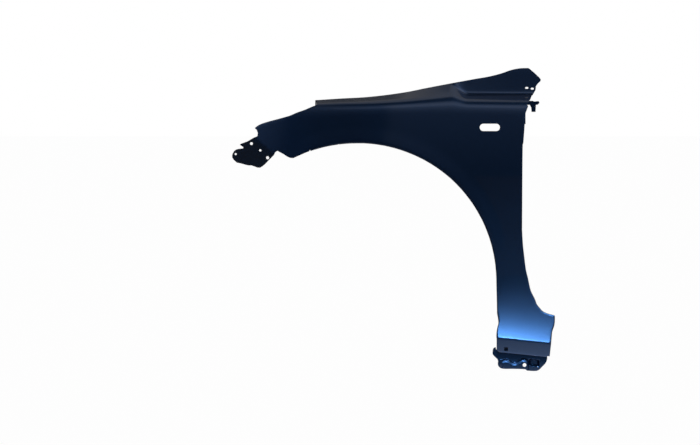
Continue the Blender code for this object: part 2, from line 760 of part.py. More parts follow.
def fender_cuts():
    """Every hole in the panel, with the sail's cut corner."""
    cuts = [skin_cut(slot_outline(LAMP_HOLE_LENGTH, LAMP_HOLE_HEIGHT), upper_rear(-77.2, 37.0))]
    half = SQUARE_HOLE / 2
    square = [(-half, -half), (half, -half), (half, half), (-half, half)]
    cuts.append(skin_cut(square, square_hole_place(), reach=8))
    for point, size in ((front(-97.5, 35.8), TAB_HOLE), (front(-76.3, 19.8), TAB_HOLE - 1.5),
                        (front(-58.5, 2.2), TAB_HOLE + 0.5), (front(-136, 9), TAB_HOLE - 2)):
        cuts.append(skin_cut(slot_outline(size, size, 8), point, reach=9))
    for k in range(LINER_HOLES):
        angle = math.radians(ARCH_FRONT_ANGLE - 12 - (ARCH_FRONT_ANGLE - 16) * k / (LINER_HOLES - 1))
        way = Vector((math.cos(angle), 0, math.sin(angle)))
        spot = way * ARCH_RADIUS
        spot.y = skin_y(spot.x, spot.z) + ARCH_FLANGE * 0.6
        cuts.append((slot_outline(LINER_HOLE, LINER_HOLE, 7), spot, way, 4))
    for place in hood_bolt_places():
        spot = hood_pad(place)
        cuts.append((slot_outline(HOOD_BOLT_HOLE, HOOD_BOLT_HOLE, 8), spot, (0, 0, 1), 6))
    sail_y = skin_y(ARCH_RADIUS, shoulder_height(ARCH_RADIUS)) + LEDGE_WIDTH
    for offset, rise in ((12.4, 130.2), (25.6, 128.4)):
        x, z = upper_rear(offset, rise)
        cuts.append((slot_outline(*SAIL_SLOT, 6), (x, sail_y + 5, z), (0, 1, 0), 22))
    corner = [(13.5, 190), (15.5, 178.5), (20, 175.5), (31.5, 165.8), (43, 154.8), (46.5, 150), (45, 146),
              (39.5, 141), (34.6, 134.5), (33.6, 125.4), (30.6, 119.9), (27.6, 115.3),
              (26.0, 111.0), (70, 109), (70, 190)]
    origin = upper_rear(0, 0)
    outline = [(-a, b) for a, b in corner]
    cuts.append((outline, (origin[0], sail_y + 20, origin[1]), (0, 1, 0), 45))
    return cuts


# Sill bracket

def bump(distance, width):
    """A smooth rise of 1 at no distance, falling to 0 past its width."""
    return 1 - ease(abs(distance), 0.0, width)


def flange_underside(x):
    """Height of the lower flange's underside where the sill bracket's flange, turned the same way, meets it."""
    left = lower_bend_height(ARCH_RADIUS) + 1
    right = lower_bend_height(rear(127.5, 0)[0]) + 0.3
    share = (x - ARCH_RADIUS - BEND_RADIUS) / (127.5 - 2 * BEND_RADIUS)
    rise = LOWER_FACE_LEAN * (SILL_PLATE_SETBACK + BEND_RADIUS)
    return left + (right - left) * share - BEND_RADIUS + rise


def sill_plate_y(x, z):
    """Depth of the bracket's plate: an embossed seat for the bolt with a wavy top, and a pocket behind it."""
    seat_x = x - ARCH_RADIUS
    under = z - flange_underside(x)
    plate = skin_y(rear(60, 0)[0], lower_bend_height(rear(60, 0)[0])) + SILL_PLATE_SETBACK
    top = -18.0 + 5.0 * bump(seat_x - 28, 10) + 9.0 * bump(seat_x - 64, 12) - 3.0 * bump(seat_x - 38, 10)
    emboss = ease(seat_x, 6, 14) * (1 - ease(seat_x, 72, 80)) * (1 - ease(under, top - 6, top))
    pocket = ease(seat_x, 76, 83) * (1 - ease(seat_x, 97, 104)) * ease(under, -27, -22)
    pocket *= 1 - ease(under, -13, -9.5)
    return plate - SILL_EMBOSS * emboss + SILL_POCKET * pocket


def sill_bracket_sheet():
    """The bracket as one stamped sheet: plate, front ear, the flange under the panel's own and a tab up from it."""
    drop = SEAT_GAP + BEND_RADIUS
    top_right, top_left = rear(121.5, 0)[0], rear(3.5, 0)[0]
    base = flange_underside(ARCH_RADIUS)
    bottom = rounded([rear(3.6, base - 23), rear(3.8, base - 34), rear(13.4, base - 41), rear(40, base - 41.6),
                      rear(67.6, base - 42.5), rear(74.5, base - 46), rear(97.4, base - 46.4),
                      rear(110, base - 36.2), rear(118, base - 27.5),
                      (top_right, flange_underside(top_right) - drop - 3)], PLATE_STEP)
    top = [(x, flange_underside(x) - drop) for x in np.linspace(top_right, top_left, 26)]
    ear_right = rear(-BEND_RADIUS / 2, 0)[0]
    ear = [rear(1.6, top[-1][1] + 2), rear(1.6, base + 2), (ear_right, base + 4.5), (ear_right, base + 8.5)]
    ear += rounded([(ear_right - 1.5, base + 10.5), (ear_right - 6.5, base + 7), rear(-9.6, base - 1.5),
                    rear(-8.8, base - 7.5), rear(-3.5, base - 13.5), rear(2, base - 18.5)], PLATE_STEP)
    sheet = Sheet()
    loop = bottom + top + ear
    numbers = fill_outline(sheet, loop, [], lambda z: PLATE_STEP, sill_plate_y)
    turn = 90.0 - math.degrees(math.atan(LOWER_FACE_LEAN))
    edge = sheet.add_flange(numbers[len(bottom):len(bottom) + len(top)], SILL_TOP_FLANGE, turn)
    hole_x = square_hole_place()[0]
    behind = [index for index in edge if abs(sheet.points[index].x - hole_x) < SILL_TAB_WIDTH / 2]
    sheet.add_flange(behind, SILL_TAB_HEIGHT, -90.0, -BEND_RADIUS)
    return sheet


def sill_bolt_place():
    """Bolt hole of the sill bracket, in the side view."""
    x = rear(67, 0)[0]
    return x, flange_underside(x) - 25.5


# Rear upper bracket

def angle_profile():
    """The angle seen from above: foot along the door flange, a bend, and the leg behind the shoulder."""
    foot_x = upper_rear(5.6 - SHEET - SEAT_GAP, 0)[0]
    start_y = skin_y(foot_x, ARCH_RADIUS + 50) + BEND_RADIUS + 1
    leg_y = start_y + ANGLE_DEPTH
    points = [(foot_x, start_y), (foot_x, leg_y - BEND_RADIUS)]
    for step in (1, 2, 3):
        angle = math.radians(30 * step)
        points.append((foot_x + BEND_RADIUS * (1 - math.cos(angle)), leg_y - BEND_RADIUS * (1 - math.sin(angle))))
    points.append((upper_rear(45, 0)[0], leg_y))
    return points


def angle_sheet():
    """The angle before its outline is cut, from below the shoulder up to the upper prong."""
    sheet = Sheet()
    rows = []
    for rise in (44.0, 100.0):
        rows.append([sheet.add_point((x, y, ARCH_RADIUS + rise)) for x, y in angle_profile()])
    sheet.add_strip(rows[0], rows[1])
    return sheet


def angle_cuts():
    """Cuts that leave the angle's foot and its two prongs."""
    profile = angle_profile()
    leg_y = profile[-1][1]
    prongs = [(9, 38), (9, 86), (12, 90.2), (19, 90.2), (22.4, 84), (23.4, 73.3), (33, 73.3), (34, 90.4),
              (38.5, 90.8), (42.6, 95), (40.5, 99.4), (30, 98.4), (24, 101), (16, 102), (16, 120),
              (70, 120), (70, 38)]
    origin = upper_rear(0, 0)
    cuts = [([(-a, b) for a, b in prongs], (origin[0], leg_y, origin[1]), (0, 1, 0), 8)]
    foot_x, foot_y = profile[0]
    middle = (foot_x, foot_y, ARCH_RADIUS + 44 + ANGLE_FOOT + 30)
    across = leg_y - BEND_RADIUS - 1 - foot_y
    box = [(-across, -30), (across, -30), (across, 30), (-across, 30)]
    cuts.append((box, middle, (1, 0, 0), 6))
    return cuts


def clear_scene():
    for thing in list(bpy.data.objects):
        bpy.data.objects.remove(thing, do_unlink=True)


def build_fender():
    clear_scene()
    parts = new_collection("front_fender")
    cutters = new_collection("cutters")
    origin = hood_pad(hood_bolt_places()[1]) + Vector((HOOD_BOLT_HOLE, 0, -SHEET))
    frame = bpy.data.objects.new("fender_frame", None)
    frame.location = -origin * MM
    parts.objects.link(frame)
    paint = paint_material()
    panel = sheet_object("fender_panel", fender_sheet(), SHEET, parts, frame, paint)
    cutter_object("panel_holes", fender_cuts(), panel, cutters, frame)
    sill = sheet_object("sill_bracket", sill_bracket_sheet(), SHEET, parts, frame, paint)
    bolt_x, bolt_z = sill_bolt_place()
    bolt = (slot_outline(SILL_BOLT_HOLE, SILL_BOLT_HOLE, 8), (bolt_x, sill_plate_y(bolt_x, bolt_z), bolt_z),
            (0, 1, 0), 5)
    cutter_object("sill_bolt_hole", [bolt], sill, cutters, frame)
    angle = sheet_object("rear_upper_bracket", angle_sheet(), ANGLE_SHEET, parts, frame, paint)
    cutter_object("angle_outline", angle_cuts(), angle, cutters, frame)


build_fender()
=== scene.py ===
"""Looks of the left front fender: the pressed sheet at a fine mesh, its paint, and the studio.

The form functions work in millimetres from the wheel's centre, as the part's design does.
"""

import math

import bmesh
import bpy
import numpy as np
from mathutils import Matrix, Vector
from mathutils.geometry import delaunay_2d_cdt

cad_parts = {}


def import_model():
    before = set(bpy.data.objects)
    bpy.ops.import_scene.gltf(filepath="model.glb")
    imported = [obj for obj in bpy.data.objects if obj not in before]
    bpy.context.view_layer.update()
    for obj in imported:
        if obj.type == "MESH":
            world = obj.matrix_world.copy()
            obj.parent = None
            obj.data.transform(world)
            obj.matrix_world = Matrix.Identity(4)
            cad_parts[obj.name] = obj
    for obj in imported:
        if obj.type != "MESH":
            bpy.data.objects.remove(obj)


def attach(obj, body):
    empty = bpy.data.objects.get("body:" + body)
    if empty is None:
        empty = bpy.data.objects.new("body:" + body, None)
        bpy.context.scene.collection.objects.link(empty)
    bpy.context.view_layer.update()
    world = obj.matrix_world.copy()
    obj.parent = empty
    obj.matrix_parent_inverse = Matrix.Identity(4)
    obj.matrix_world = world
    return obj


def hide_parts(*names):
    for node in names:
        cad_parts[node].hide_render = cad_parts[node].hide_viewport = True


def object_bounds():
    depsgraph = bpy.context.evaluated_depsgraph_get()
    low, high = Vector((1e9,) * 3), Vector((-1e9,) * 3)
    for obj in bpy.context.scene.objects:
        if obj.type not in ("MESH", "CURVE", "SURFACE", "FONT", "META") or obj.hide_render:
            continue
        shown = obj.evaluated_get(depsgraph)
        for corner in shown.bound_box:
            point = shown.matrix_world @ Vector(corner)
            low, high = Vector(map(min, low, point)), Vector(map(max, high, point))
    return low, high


MM = 0.001

# Sheet and bends
SHEET = 0.8
BEND_RADIUS = 3.0
SEAT_GAP = 0.3

# Wheel arch: a round opening that runs straight down behind the wheel
ARCH_RADIUS = 333.0
ARCH_FRONT_ANGLE = 110.0
TOOTH_ANGLE = 118.4
LIP_FLARE = 1.5
LIP_WIDTH = 42.0
ARCH_FLANGE = 20.0
LINER_HOLE = 7.0
LINER_HOLES = 6

# Side face: wrap towards the bumper, crown towards the shoulder, flare towards the sill
LEG_WIDTH = 61.0
FOOT_REACH = 127.5
WRAP_RATE = 5.4e-4
WRAP_START = 120.0
CROWN_RATE = 4.0e-4
CROWN_BELOW_SHOULDER = 180.0
FLARE_TOP = 20.0
FLARE_DEPTH = 30.0
CREASE_DROP = 133.0
CREASE_FALL = 12.5
CREASE_BLEND = 2.5
CREASE_STEP = 0.2
CREASE_STEP_RISE = (0.6, 2.0)
LOWER_FACE_LEAN = 0.10
LOWER_FACE_HEIGHT = 34.0
LOWER_BEND_FALL = 11.0
LOWER_FLANGE = 24.0
DOOR_FLANGE = 14.0

# Shoulder, ledge, sail and hood edge, in a section across the car
SHOULDER_RISE = 95.0
SHOULDER_SETBACK = 27.0
LEDGE_WIDTH = 58.0
LEDGE_RISE = 116.0
LEDGE_FILLET = 9.0
SAIL_FRONT = -112.0
SAIL_RAMP = 45.0
SAIL_LEAN = 7.0
HOOD_EDGE_RADIUS = 3.5
HOOD_WALL = 26.0
HOOD_PAD = 30.0
HOOD_FLANGE = 17.0
PAD_REACH = 15.0
PAD_RAMP = 16.0
HOOD_BOLT_HOLE = 9.0
HEADLIGHT_FLANGE = 12.0
SAIL_HEM = 8.0
HEM_REACH = 4.0

# Bumper tab at the front: the skin turned inboard beyond a slanted bend
TAB_BEND_SLOPE = 0.85
TAB_BEND_BLEND = 5.0
TAB_HOLE = 7.0

# Side lamp hole and small holes
LAMP_HOLE_LENGTH = 48.5
LAMP_HOLE_HEIGHT = 17.5
SAIL_SLOT = (7.5, 4.5)
SQUARE_HOLE = 9.0

# Sill bracket: a stamped plate under the lower flange
SILL_PLATE_SETBACK = 12.0
SILL_TOP_FLANGE = 14.0
SILL_TAB_WIDTH = 26.0
SILL_TAB_HEIGHT = 24.0
SILL_EMBOSS = 8.0
SILL_EMBOSS_ENDS = (6.0, 80.0)
SILL_EMBOSS_RAMP = 8.0
SILL_POCKET = 9.0
SILL_POCKET_ENDS = (76.0, 104.0)
SILL_POCKET_RAMP = 7.0
SILL_POCKET_BOTTOM = (-27.0, -22.0)
SILL_POCKET_TOP = (-13.0, -9.5)
SILL_BOLT_HOLE = 9.0

# Wavy top of the bracket's seat: its height over the flange, then the place, width and rise of each wave
WAVE_BASE = -18.0
WAVES = ((24.0, 14.0, 3.5), (66.0, 20.0, 8.5), (42.0, 14.0, -2.5))

# Slopes under the wave: a share of the seat's depth, and where the slope starts and ends
SEAT_SLOPES = ((0.74, 4.0, 0.0), (0.26, 11.0, 3.0))

# Rear upper bracket: an angle with two prongs behind the door edge
ANGLE_SHEET = 1.2
ANGLE_RISE = (44.0, 100.0)
ANGLE_FOOT = 18.0
ANGLE_DEPTH = 26.0

# Mesh spacing, and the stretches over which the upper body's columns fan out to its slanted ends
SKIN_STEP = 6.0
LEG_STEP = 3.6
EDGE_STEP = 3.2
COLUMN_STEP = 3.4
PLATE_STEP = 1.1
BEND_STEPS = 6
ROLL_STEPS = 14
FILLET_STEPS = 7
RIM_STEPS = 5
FLAT_ROWS = 5
FRONT_FAN = 110.0
REAR_FAN = 130.0
SHARP_ANGLE = 32.0

# How far a hole's cutter reaches each way
CUT_REACH = 12.0

# Camera and frame of the photograph
PHOTO_SIZE = (700, 445)
WHEEL_CENTRE_PX = (357.8, 281.6)
MM_PER_PX = 2.4
CAMERA_ELEVATION = 2.0
CAMERA_DISTANCE = 30.0

# Finish: colours in linear light. The sill bracket has a darker copy of the body paint, with less clear coat:
# painted shade for its place recessed under the panel's lower face
PAINT_DEEP = (0.009, 0.033, 0.095)
PAINT_FLAKE = (0.021, 0.075, 0.21)
PAINT_METALLIC = 0.95
PAINT_ROUGHNESS = 0.335
ROUGHNESS_SPREAD = 0.04
BRACKET_SHADE_DEPTH = 0.7
BRACKET_SHADE_COAT = 0.35
INNER_DARK = (0.032, 0.038, 0.054)
INNER_LIGHT = (0.050, 0.064, 0.100)

# The room that the paint mirrors: each stop has its place across the room, its level and how blue it is
FRONT_LEVELS = ((0.0, 0.1, 1.35), (0.12, 0.2, 1.35), (0.25, 0.3, 1.25), (0.5, 0.43, 1.1), (0.7, 0.68, 1.0),
                (0.84, 1.0, 1.0), (0.94, 0.95, 1.0), (0.99, 0.1, 1.0), (1.0, 0.05, 1.0))
SIDE_LEVELS = ((0.0, 1.0, 1.0), (0.15, 1.0, 1.0), (0.22, 0.17, 1.0), (0.435, 0.17, 1.0), (0.465, 0.43, 1.0),
               (0.7, 0.43, 1.0), (0.8, 1.0, 1.0), (1.0, 1.0, 1.0))
BEHIND_LEVELS = ((0.0, 0.03, 1.0), (0.5, 0.05, 1.0), (0.6, 0.2, 0.95), (0.9, 0.24, 0.95), (0.98, 0.1, 1.0),
                 (1.0, 0.02, 1.0))

# How far a direction points inboard where the light behind takes over, and where the white backdrop does
BEHIND_EDGE = (0.3, 0.6)
BACKDROP_EDGE = (0.93, 0.97)

# Plain light on matt surfaces, and the floor
PLAIN_LEVEL = 0.95
FLOOR_COLOUR = (0.05, 0.05, 0.05, 1.0)
FLOOR_ROUGHNESS = 0.9
FLOOR_GLOW = 0.985
FLOOR_SIZE = 40.0
FLOOR_MIDDLE_X = 0.3
FLOOR_MIRROR_REACH = 0.75

# Lamps: name, place, target, size in metres, energy in watts and spread in degrees
LAMPS = (("sill_softbox", (0.36, -1.16, 0.69), (0.33, -0.13, -0.56), (0.3, 0.3), 0.6, 16),
         ("top_softbox", (0.1, -1.6, 2.4), (0.0, 0.0, 0.0), (2.4, 0.8), 0.3, 120))


def arch_point(angle):
    """Point of the round arch at an angle in degrees, which rises from the rear over the top to the front."""
    turn = math.radians(angle)
    return ARCH_RADIUS * math.cos(turn), ARCH_RADIUS * math.sin(turn)


def tooth_point():
    """Front end of the wheel arch, which the headlight edge and the bumper tab are placed from."""
    return arch_point(TOOTH_ANGLE)


def front(offset_x, offset_z):
    """A point placed from the arch's front tooth."""
    tooth_x, tooth_z = tooth_point()
    return tooth_x + offset_x, tooth_z + offset_z


def rear(offset_x, height):
    """A point of the rear leg: behind the arch's straight edge, at a height over the wheel's centre."""
    return ARCH_RADIUS + offset_x, height


def rear_x(offset_x):
    """Place along the car behind the arch's straight edge."""
    return ARCH_RADIUS + offset_x


def sill(offset_x, rise):
    """A point near the sill: behind the arch's straight edge, at a height over the crease's front end."""
    return ARCH_RADIUS + offset_x, rise - CREASE_DROP


def upper_rear(offset_x, rise):
    """A point of the upper door edge: behind the arch, at a height over its top."""
    return ARCH_RADIUS + LEG_WIDTH + offset_x, ARCH_RADIUS + rise


def curve_point(start, end, lead, trail, t):
    """Point at t from 0 to 1 on the cubic curve between two points with the given end slopes."""
    return ((1 + 2 * t) * (1 - t) ** 2 * start + t * (1 - t) ** 2 * lead
            + t * t * (3 - 2 * t) * end + t * t * (t - 1) * trail)


def smooth_curve(points, x):
    """Value at x of a smooth curve through points, straight beyond its ends."""
    knots = np.array(points, dtype=float)
    slopes = np.gradient(knots[:, 1], knots[:, 0])
    if x <= knots[0, 0]:
        return knots[0, 1] + slopes[0] * (x - knots[0, 0])
    if x >= knots[-1, 0]:
        return knots[-1, 1] + slopes[-1] * (x - knots[-1, 0])
    index = int(np.searchsorted(knots[:, 0], x, side="right")) - 1
    span = knots[index + 1, 0] - knots[index, 0]
    lead, trail = slopes[index] * span, slopes[index + 1] * span
    return curve_point(knots[index, 1], knots[index + 1, 1], lead, trail, (x - knots[index, 0]) / span)


def ease(value, start, end):
    """Smooth step from 0 at start to 1 at end."""
    t = min(1.0, max(0.0, (value - start) / (end - start)))
    return t * t * (3 - 2 * t)


def plateau(value, start, end, ramp):
    """1 between two ends, falling to 0 over a ramp inside each end."""
    return ease(value, start, start + ramp) * (1 - ease(value, end - ramp, end))


def bump(distance, width):
    """A smooth rise of 1 at no distance, falling to 0 past its width."""
    return 1 - ease(abs(distance), 0.0, width)


def soft_corner(distance, blend):
    """Zero before a bend line and equal to the distance beyond it, rounded over the blend."""
    if distance <= -blend:
        return 0.0
    if distance >= blend:
        return distance
    return (distance + blend) ** 2 / (4 * blend)


# Form lines of the upper body

def shoulder_height(x):
    """Height of the shoulder's sharp corner, before it is rounded."""
    line = [(front(40, 0)[0], -8.0), (0.0, -1.5), (130.0, 3.0), (rear_x(67), 0.0)]
    return ARCH_RADIUS + SHOULDER_RISE + smooth_curve(line, x)


def hood_corner():
    """Where the hood edge starts at the front."""
    return front(56, 0)[0]


def hood_height(x):
    """Height of the hood edge, the panel's upper outline."""
    line = [(hood_corner(), 100.5), (-45.0, 104.4), (22.0, 108.2), (80.0, 114.6), (125.0, 121.5),
            (159.0, 128.5), (rear_x(-133), 136.5), (rear_x(-52), 151.5), (rear_x(-13), 158.5),
            (rear_x(15), 166.0), (rear_x(35), 173.0), (rear_x(56), 177.2), (rear_x(80), 178.0)]
    return ARCH_RADIUS + smooth_curve(line, x)


def top_width(x):
    """How far inboard of the shoulder corner the hood edge lies."""
    full = LEDGE_WIDTH + SAIL_LEAN
    line = [(hood_corner(), 44.0), (100.0, 70.0), (rear_x(-50), full), (rear_x(100), full)]
    return smooth_curve(line, x)


def crease_height(x):
    """Height of the crease that ends the flare over the sill."""
    return -CREASE_DROP - CREASE_FALL * (x - ARCH_RADIUS) / (2 * LEG_WIDTH)


def lower_bend_height(x):
    """Height of the bend that turns the lower flange inboard."""
    return -CREASE_DROP - LOWER_FACE_HEIGHT - LOWER_BEND_FALL * (x - ARCH_RADIUS) / (2 * LEG_WIDTH)


def tab_bend_distance(x, z):
    """Distance beyond the bumper tab's bend line, towards its outer end."""
    if x > tooth_point()[0] - 20:
        return -SKIN_STEP
    start, end = front(-93, 49), front(-45, 8)
    along = (Vector(end) - Vector(start)).normalized()
    return (x - start[0]) * along.y - (z - start[1]) * along.x


def skin_y(x, z):
    """Depth of the side face at a point of the side view, from the sill up to the shoulder."""
    wrap = WRAP_RATE * max(0.0, WRAP_START - x) ** 2
    crown_start = ARCH_RADIUS + SHOULDER_RISE - CROWN_BELOW_SHOULDER
    crown = CROWN_RATE * max(0.0, z - crown_start) ** 2
    crease = crease_height(x)
    flare_height = FLARE_TOP - crease
    fall = max(0.0, FLARE_TOP - z)
    bulge = FLARE_DEPTH * (fall / flare_height) ** 2
    slope = 2 * FLARE_DEPTH * fall / flare_height ** 2
    if z < crease:
        bulge = FLARE_DEPTH + 2 * FLARE_DEPTH / flare_height * (crease - z)
        slope = 2 * FLARE_DEPTH / flare_height
    below = soft_corner(crease - z, CREASE_BLEND)
    bulge += CREASE_STEP * (1 - ease(z - crease, *CREASE_STEP_RISE))
    bulge -= (slope + LOWER_FACE_LEAN) * below
    edge = math.hypot(x, z) - ARCH_RADIUS if z > 0 else x - ARCH_RADIUS
    lip = LIP_FLARE * (1 - ease(edge, 0.0, LIP_WIDTH)) * ease(z, -60.0, 30.0)
    lip *= ease(x, tooth_point()[0] - 10, tooth_point()[0] + 60)
    tab = TAB_BEND_SLOPE * soft_corner(tab_bend_distance(x, z), TAB_BEND_BLEND)
    return wrap + crown - bulge - lip + tab


# Section across the upper body

def corner_points(before, corner, after, setback_in, setback_out, count):
    """Points of a rounded corner, from setback_in before it to setback_out past it."""
    setback_in = min(setback_in, 0.45 * (before - corner).length)
    setback_out = min(setback_out, 0.45 * (after - corner).length)
    start = corner + (before - corner).normalized() * setback_in
    end = corner + (after - corner).normalized() * setback_out
    points = []
    for step in range(count + 1):
        t = step / count
        points.append(start * (1 - t) ** 2 + corner * 2 * t * (1 - t) + end * t * t)
    return points


def hood_bolt_places():
    """Where along the hood ledge its bolts are."""
    return (front(95, 0)[0], 70.0, rear_x(-140), rear_x(-25))


def pad_nearness(x):
    """1 on a bolt pad of the hood ledge, falling to 0 past its ramp."""
    gap = min(abs(x - place) for place in hood_bolt_places())
    return 1 - ease(gap, PAD_REACH, PAD_REACH + PAD_RAMP)


def past_ledge(x):
    """0 along the hood ledge, rising to 1 where only the sail's hem is left of it."""
    return ease(x, rear_x(2), rear_x(30))


def ledge_height(x):
    """Height of the hood ledge: level on each bolt pad, and following the hood edge between them."""
    wall = HOOD_WALL + (SAIL_HEM - HOOD_WALL) * past_ledge(x)
    height = hood_height(x) - wall
    nearest = min(hood_bolt_places(), key=lambda place: abs(x - place))
    level = hood_height(nearest) - HOOD_WALL
    return height + (level - height) * pad_nearness(x)


def section(x):
    """Rows of the upper body's section at x, as (y, z), from the side face to the hood ledge's edge."""
    shoulder_z = shoulder_height(x)
    skin = Vector((skin_y(x, shoulder_z - SHOULDER_SETBACK), shoulder_z - SHOULDER_SETBACK))
    shoulder = Vector((skin_y(x, shoulder_z), shoulder_z))
    edge = Vector((shoulder.x + top_width(x), hood_height(x)))
    share = LEDGE_WIDTH / (LEDGE_WIDTH + SAIL_LEAN)
    plain = shoulder.lerp(edge, share)
    stepped = Vector((shoulder.x + LEDGE_WIDTH, ARCH_RADIUS + LEDGE_RISE))
    sail = ease(x, rear_x(SAIL_FRONT), rear_x(SAIL_FRONT + SAIL_RAMP))
    ledge = plain.lerp(stepped, sail)
    ledge_z = ledge_height(x)
    foot = Vector((edge.x + HOOD_EDGE_RADIUS, ledge_z))
    hood_side = Vector((edge.x + HOOD_EDGE_RADIUS, edge.y))
    reach = HOOD_FLANGE + (HOOD_PAD - HOOD_FLANGE) * pad_nearness(x)
    reach += (HEM_REACH - reach) * past_ledge(x)
    end = foot + Vector((reach, 0.0))
    below = shoulder + (skin - shoulder) * 2.3
    roll = corner_points(below, shoulder, ledge, SHOULDER_SETBACK, SHOULDER_SETBACK, ROLL_STEPS)
    roll[0] = skin
    fillet = corner_points(shoulder, ledge, edge, LEDGE_FILLET, LEDGE_FILLET, FILLET_STEPS)
    rim = corner_points(ledge, edge, hood_side, HOOD_EDGE_RADIUS, HOOD_EDGE_RADIUS / 2, RIM_STEPS)
    toe = corner_points(hood_side, foot, end, BEND_RADIUS, BEND_RADIUS, RIM_STEPS)
    pieces = [roll, between(roll[-1], fillet[0]), fillet, between(fillet[-1], rim[0]), rim,
              between(rim[-1], toe[0]), toe, between(toe[-1], end), [end]]
    return [point for piece in pieces for point in piece]


def between(start, end):
    """Points that divide a straight stretch of the section, without its ends."""
    return [start.lerp(end, (k + 1) / (FLAT_ROWS + 1)) for k in range(FLAT_ROWS)]


def section_stations():
    """Station of each row: 0 to 1 round the shoulder, 2 to 3 in the fillet, 4 at the hood edge."""
    shoulder = [k / ROLL_STEPS for k in range(ROLL_STEPS + 1)]
    flat = [1 + (k + 1) / (FLAT_ROWS + 1) for k in range(FLAT_ROWS)]
    fillet = [2 + k / FILLET_STEPS for k in range(FILLET_STEPS + 1)]
    sail = [3 + (k + 1) / (FLAT_ROWS + 1) for k in range(FLAT_ROWS)]
    return shoulder + flat + fillet + sail + [4.0] * (2 * (RIM_STEPS + 1) + 2 * FLAT_ROWS + 1)


class Sheet:
    """An open pressed sheet: shared points and faces wound so that their normals look outward."""

    def __init__(self):
        self.points = []
        self.faces = []

    def add_point(self, point):
        """Add a point and return its index."""
        self.points.append(Vector(point))
        return len(self.points) - 1

    def add_strip(self, lower, upper):
        """Quads between two rows of point indices, the upper row lying to the left of the lower one."""
        for k in range(len(lower) - 1):
            self.faces.append((lower[k], lower[k + 1], upper[k + 1], upper[k]))

    def normals(self):
        """Outward normal at each point, averaged over its faces."""
        sums = [Vector() for _ in self.points]
        for face in self.faces:
            a, b, c = (self.points[i] for i in face[:3])
            normal = (b - a).cross(c - a)
            for index in face:
                sums[index] += normal
        return [total.normalized() for total in sums]

    def add_flange(self, chain, width, turn=90.0, radius=BEND_RADIUS):
        """Bend the sheet inward along a boundary chain, or outward with a negative turn and radius.

        The width is a number or a function of 0 to 1. Returns the flange's free edge.
        """
        directed = set()
        for face in self.faces:
            directed.update(zip(face, face[1:] + face[:1]))
        if (chain[0], chain[1]) not in directed:
            chain = chain[::-1]
        normals = self.normals()
        rows = [[] for _ in range(BEND_STEPS + 1)]
        full = math.radians(turn)
        for k, index in enumerate(chain):
            before = self.points[chain[max(k - 1, 0)]]
            after = self.points[chain[min(k + 1, len(chain) - 1)]]
            normal = normals[index]
            out = (after - before).cross(normal).normalized()
            point = self.points[index]
            for step in range(BEND_STEPS):
                angle = full * (step + 1) / BEND_STEPS
                bent = out * radius * math.sin(angle) - normal * radius * (1 - math.cos(angle))
                rows[step].append(self.add_point(point + bent))
            reach = width(k / (len(chain) - 1)) if callable(width) else width
            lead = out * math.cos(full) - normal * math.sin(full)
            end = self.points[rows[-2][-1]] + lead * max(1.0, reach - radius)
            rows[-1].append(self.add_point(end))
        previous = chain
        for row in rows:
            self.add_strip(row, previous)
            previous = row
        return previous


def resample(points, step):
    """Points along an outline piece at even spacing, its corners kept where given as separate pieces."""
    line = np.array(points, dtype=float)
    lengths = np.hypot(*np.diff(line, axis=0).T)
    total = np.concatenate([[0.0], np.cumsum(lengths)])
    count = max(1, round(total[-1] / step))
    at = np.linspace(0.0, total[-1], count + 1)
    return [(float(np.interp(a, total, line[:, 0])), float(np.interp(a, total, line[:, 1]))) for a in at]


def rounded(points, step):
    """Points along a smooth curve through a few outline points, at even spacing."""
    line = [Vector(point) for point in points]
    dense = []
    for k in range(len(line) - 1):
        before = line[max(k - 1, 0)]
        after = line[min(k + 2, len(line) - 1)]
        lead = (line[k + 1] - before) / 2
        trail = (after - line[k]) / 2
        dense += [curve_point(line[k], line[k + 1], lead, trail, part / 8) for part in range(8)]
    dense.append(line[-1])
    return resample(dense, step)


def inset(points, distance):
    """An open line moved to its left by a distance, with mitred corners."""
    line = [Vector(point) for point in points]
    moved = []
    for k, point in enumerate(line):
        lead = (point - line[k - 1]).normalized() if k else None
        trail = (line[k + 1] - point).normalized() if k < len(line) - 1 else None
        lead, trail = lead or trail, trail or lead
        side = Vector((-lead.y, lead.x)) + Vector((-trail.y, trail.x))
        side.normalize()
        miter = max(0.6, side.dot(Vector((-trail.y, trail.x))))
        moved.append(tuple(point + side * distance / miter))
    return moved


def inside(loop, points):
    """Which points lie inside a closed loop."""
    x, z = points[:, 0], points[:, 1]
    result = np.zeros(len(points), dtype=bool)
    for (x0, z0), (x1, z1) in zip(loop, loop[1:] + loop[:1]):
        if z0 == z1:
            continue
        crosses = (z0 > z) != (z1 > z)
        result ^= crosses & (x < (x1 - x0) * (z - z0) / (z1 - z0) + x0)
    return result


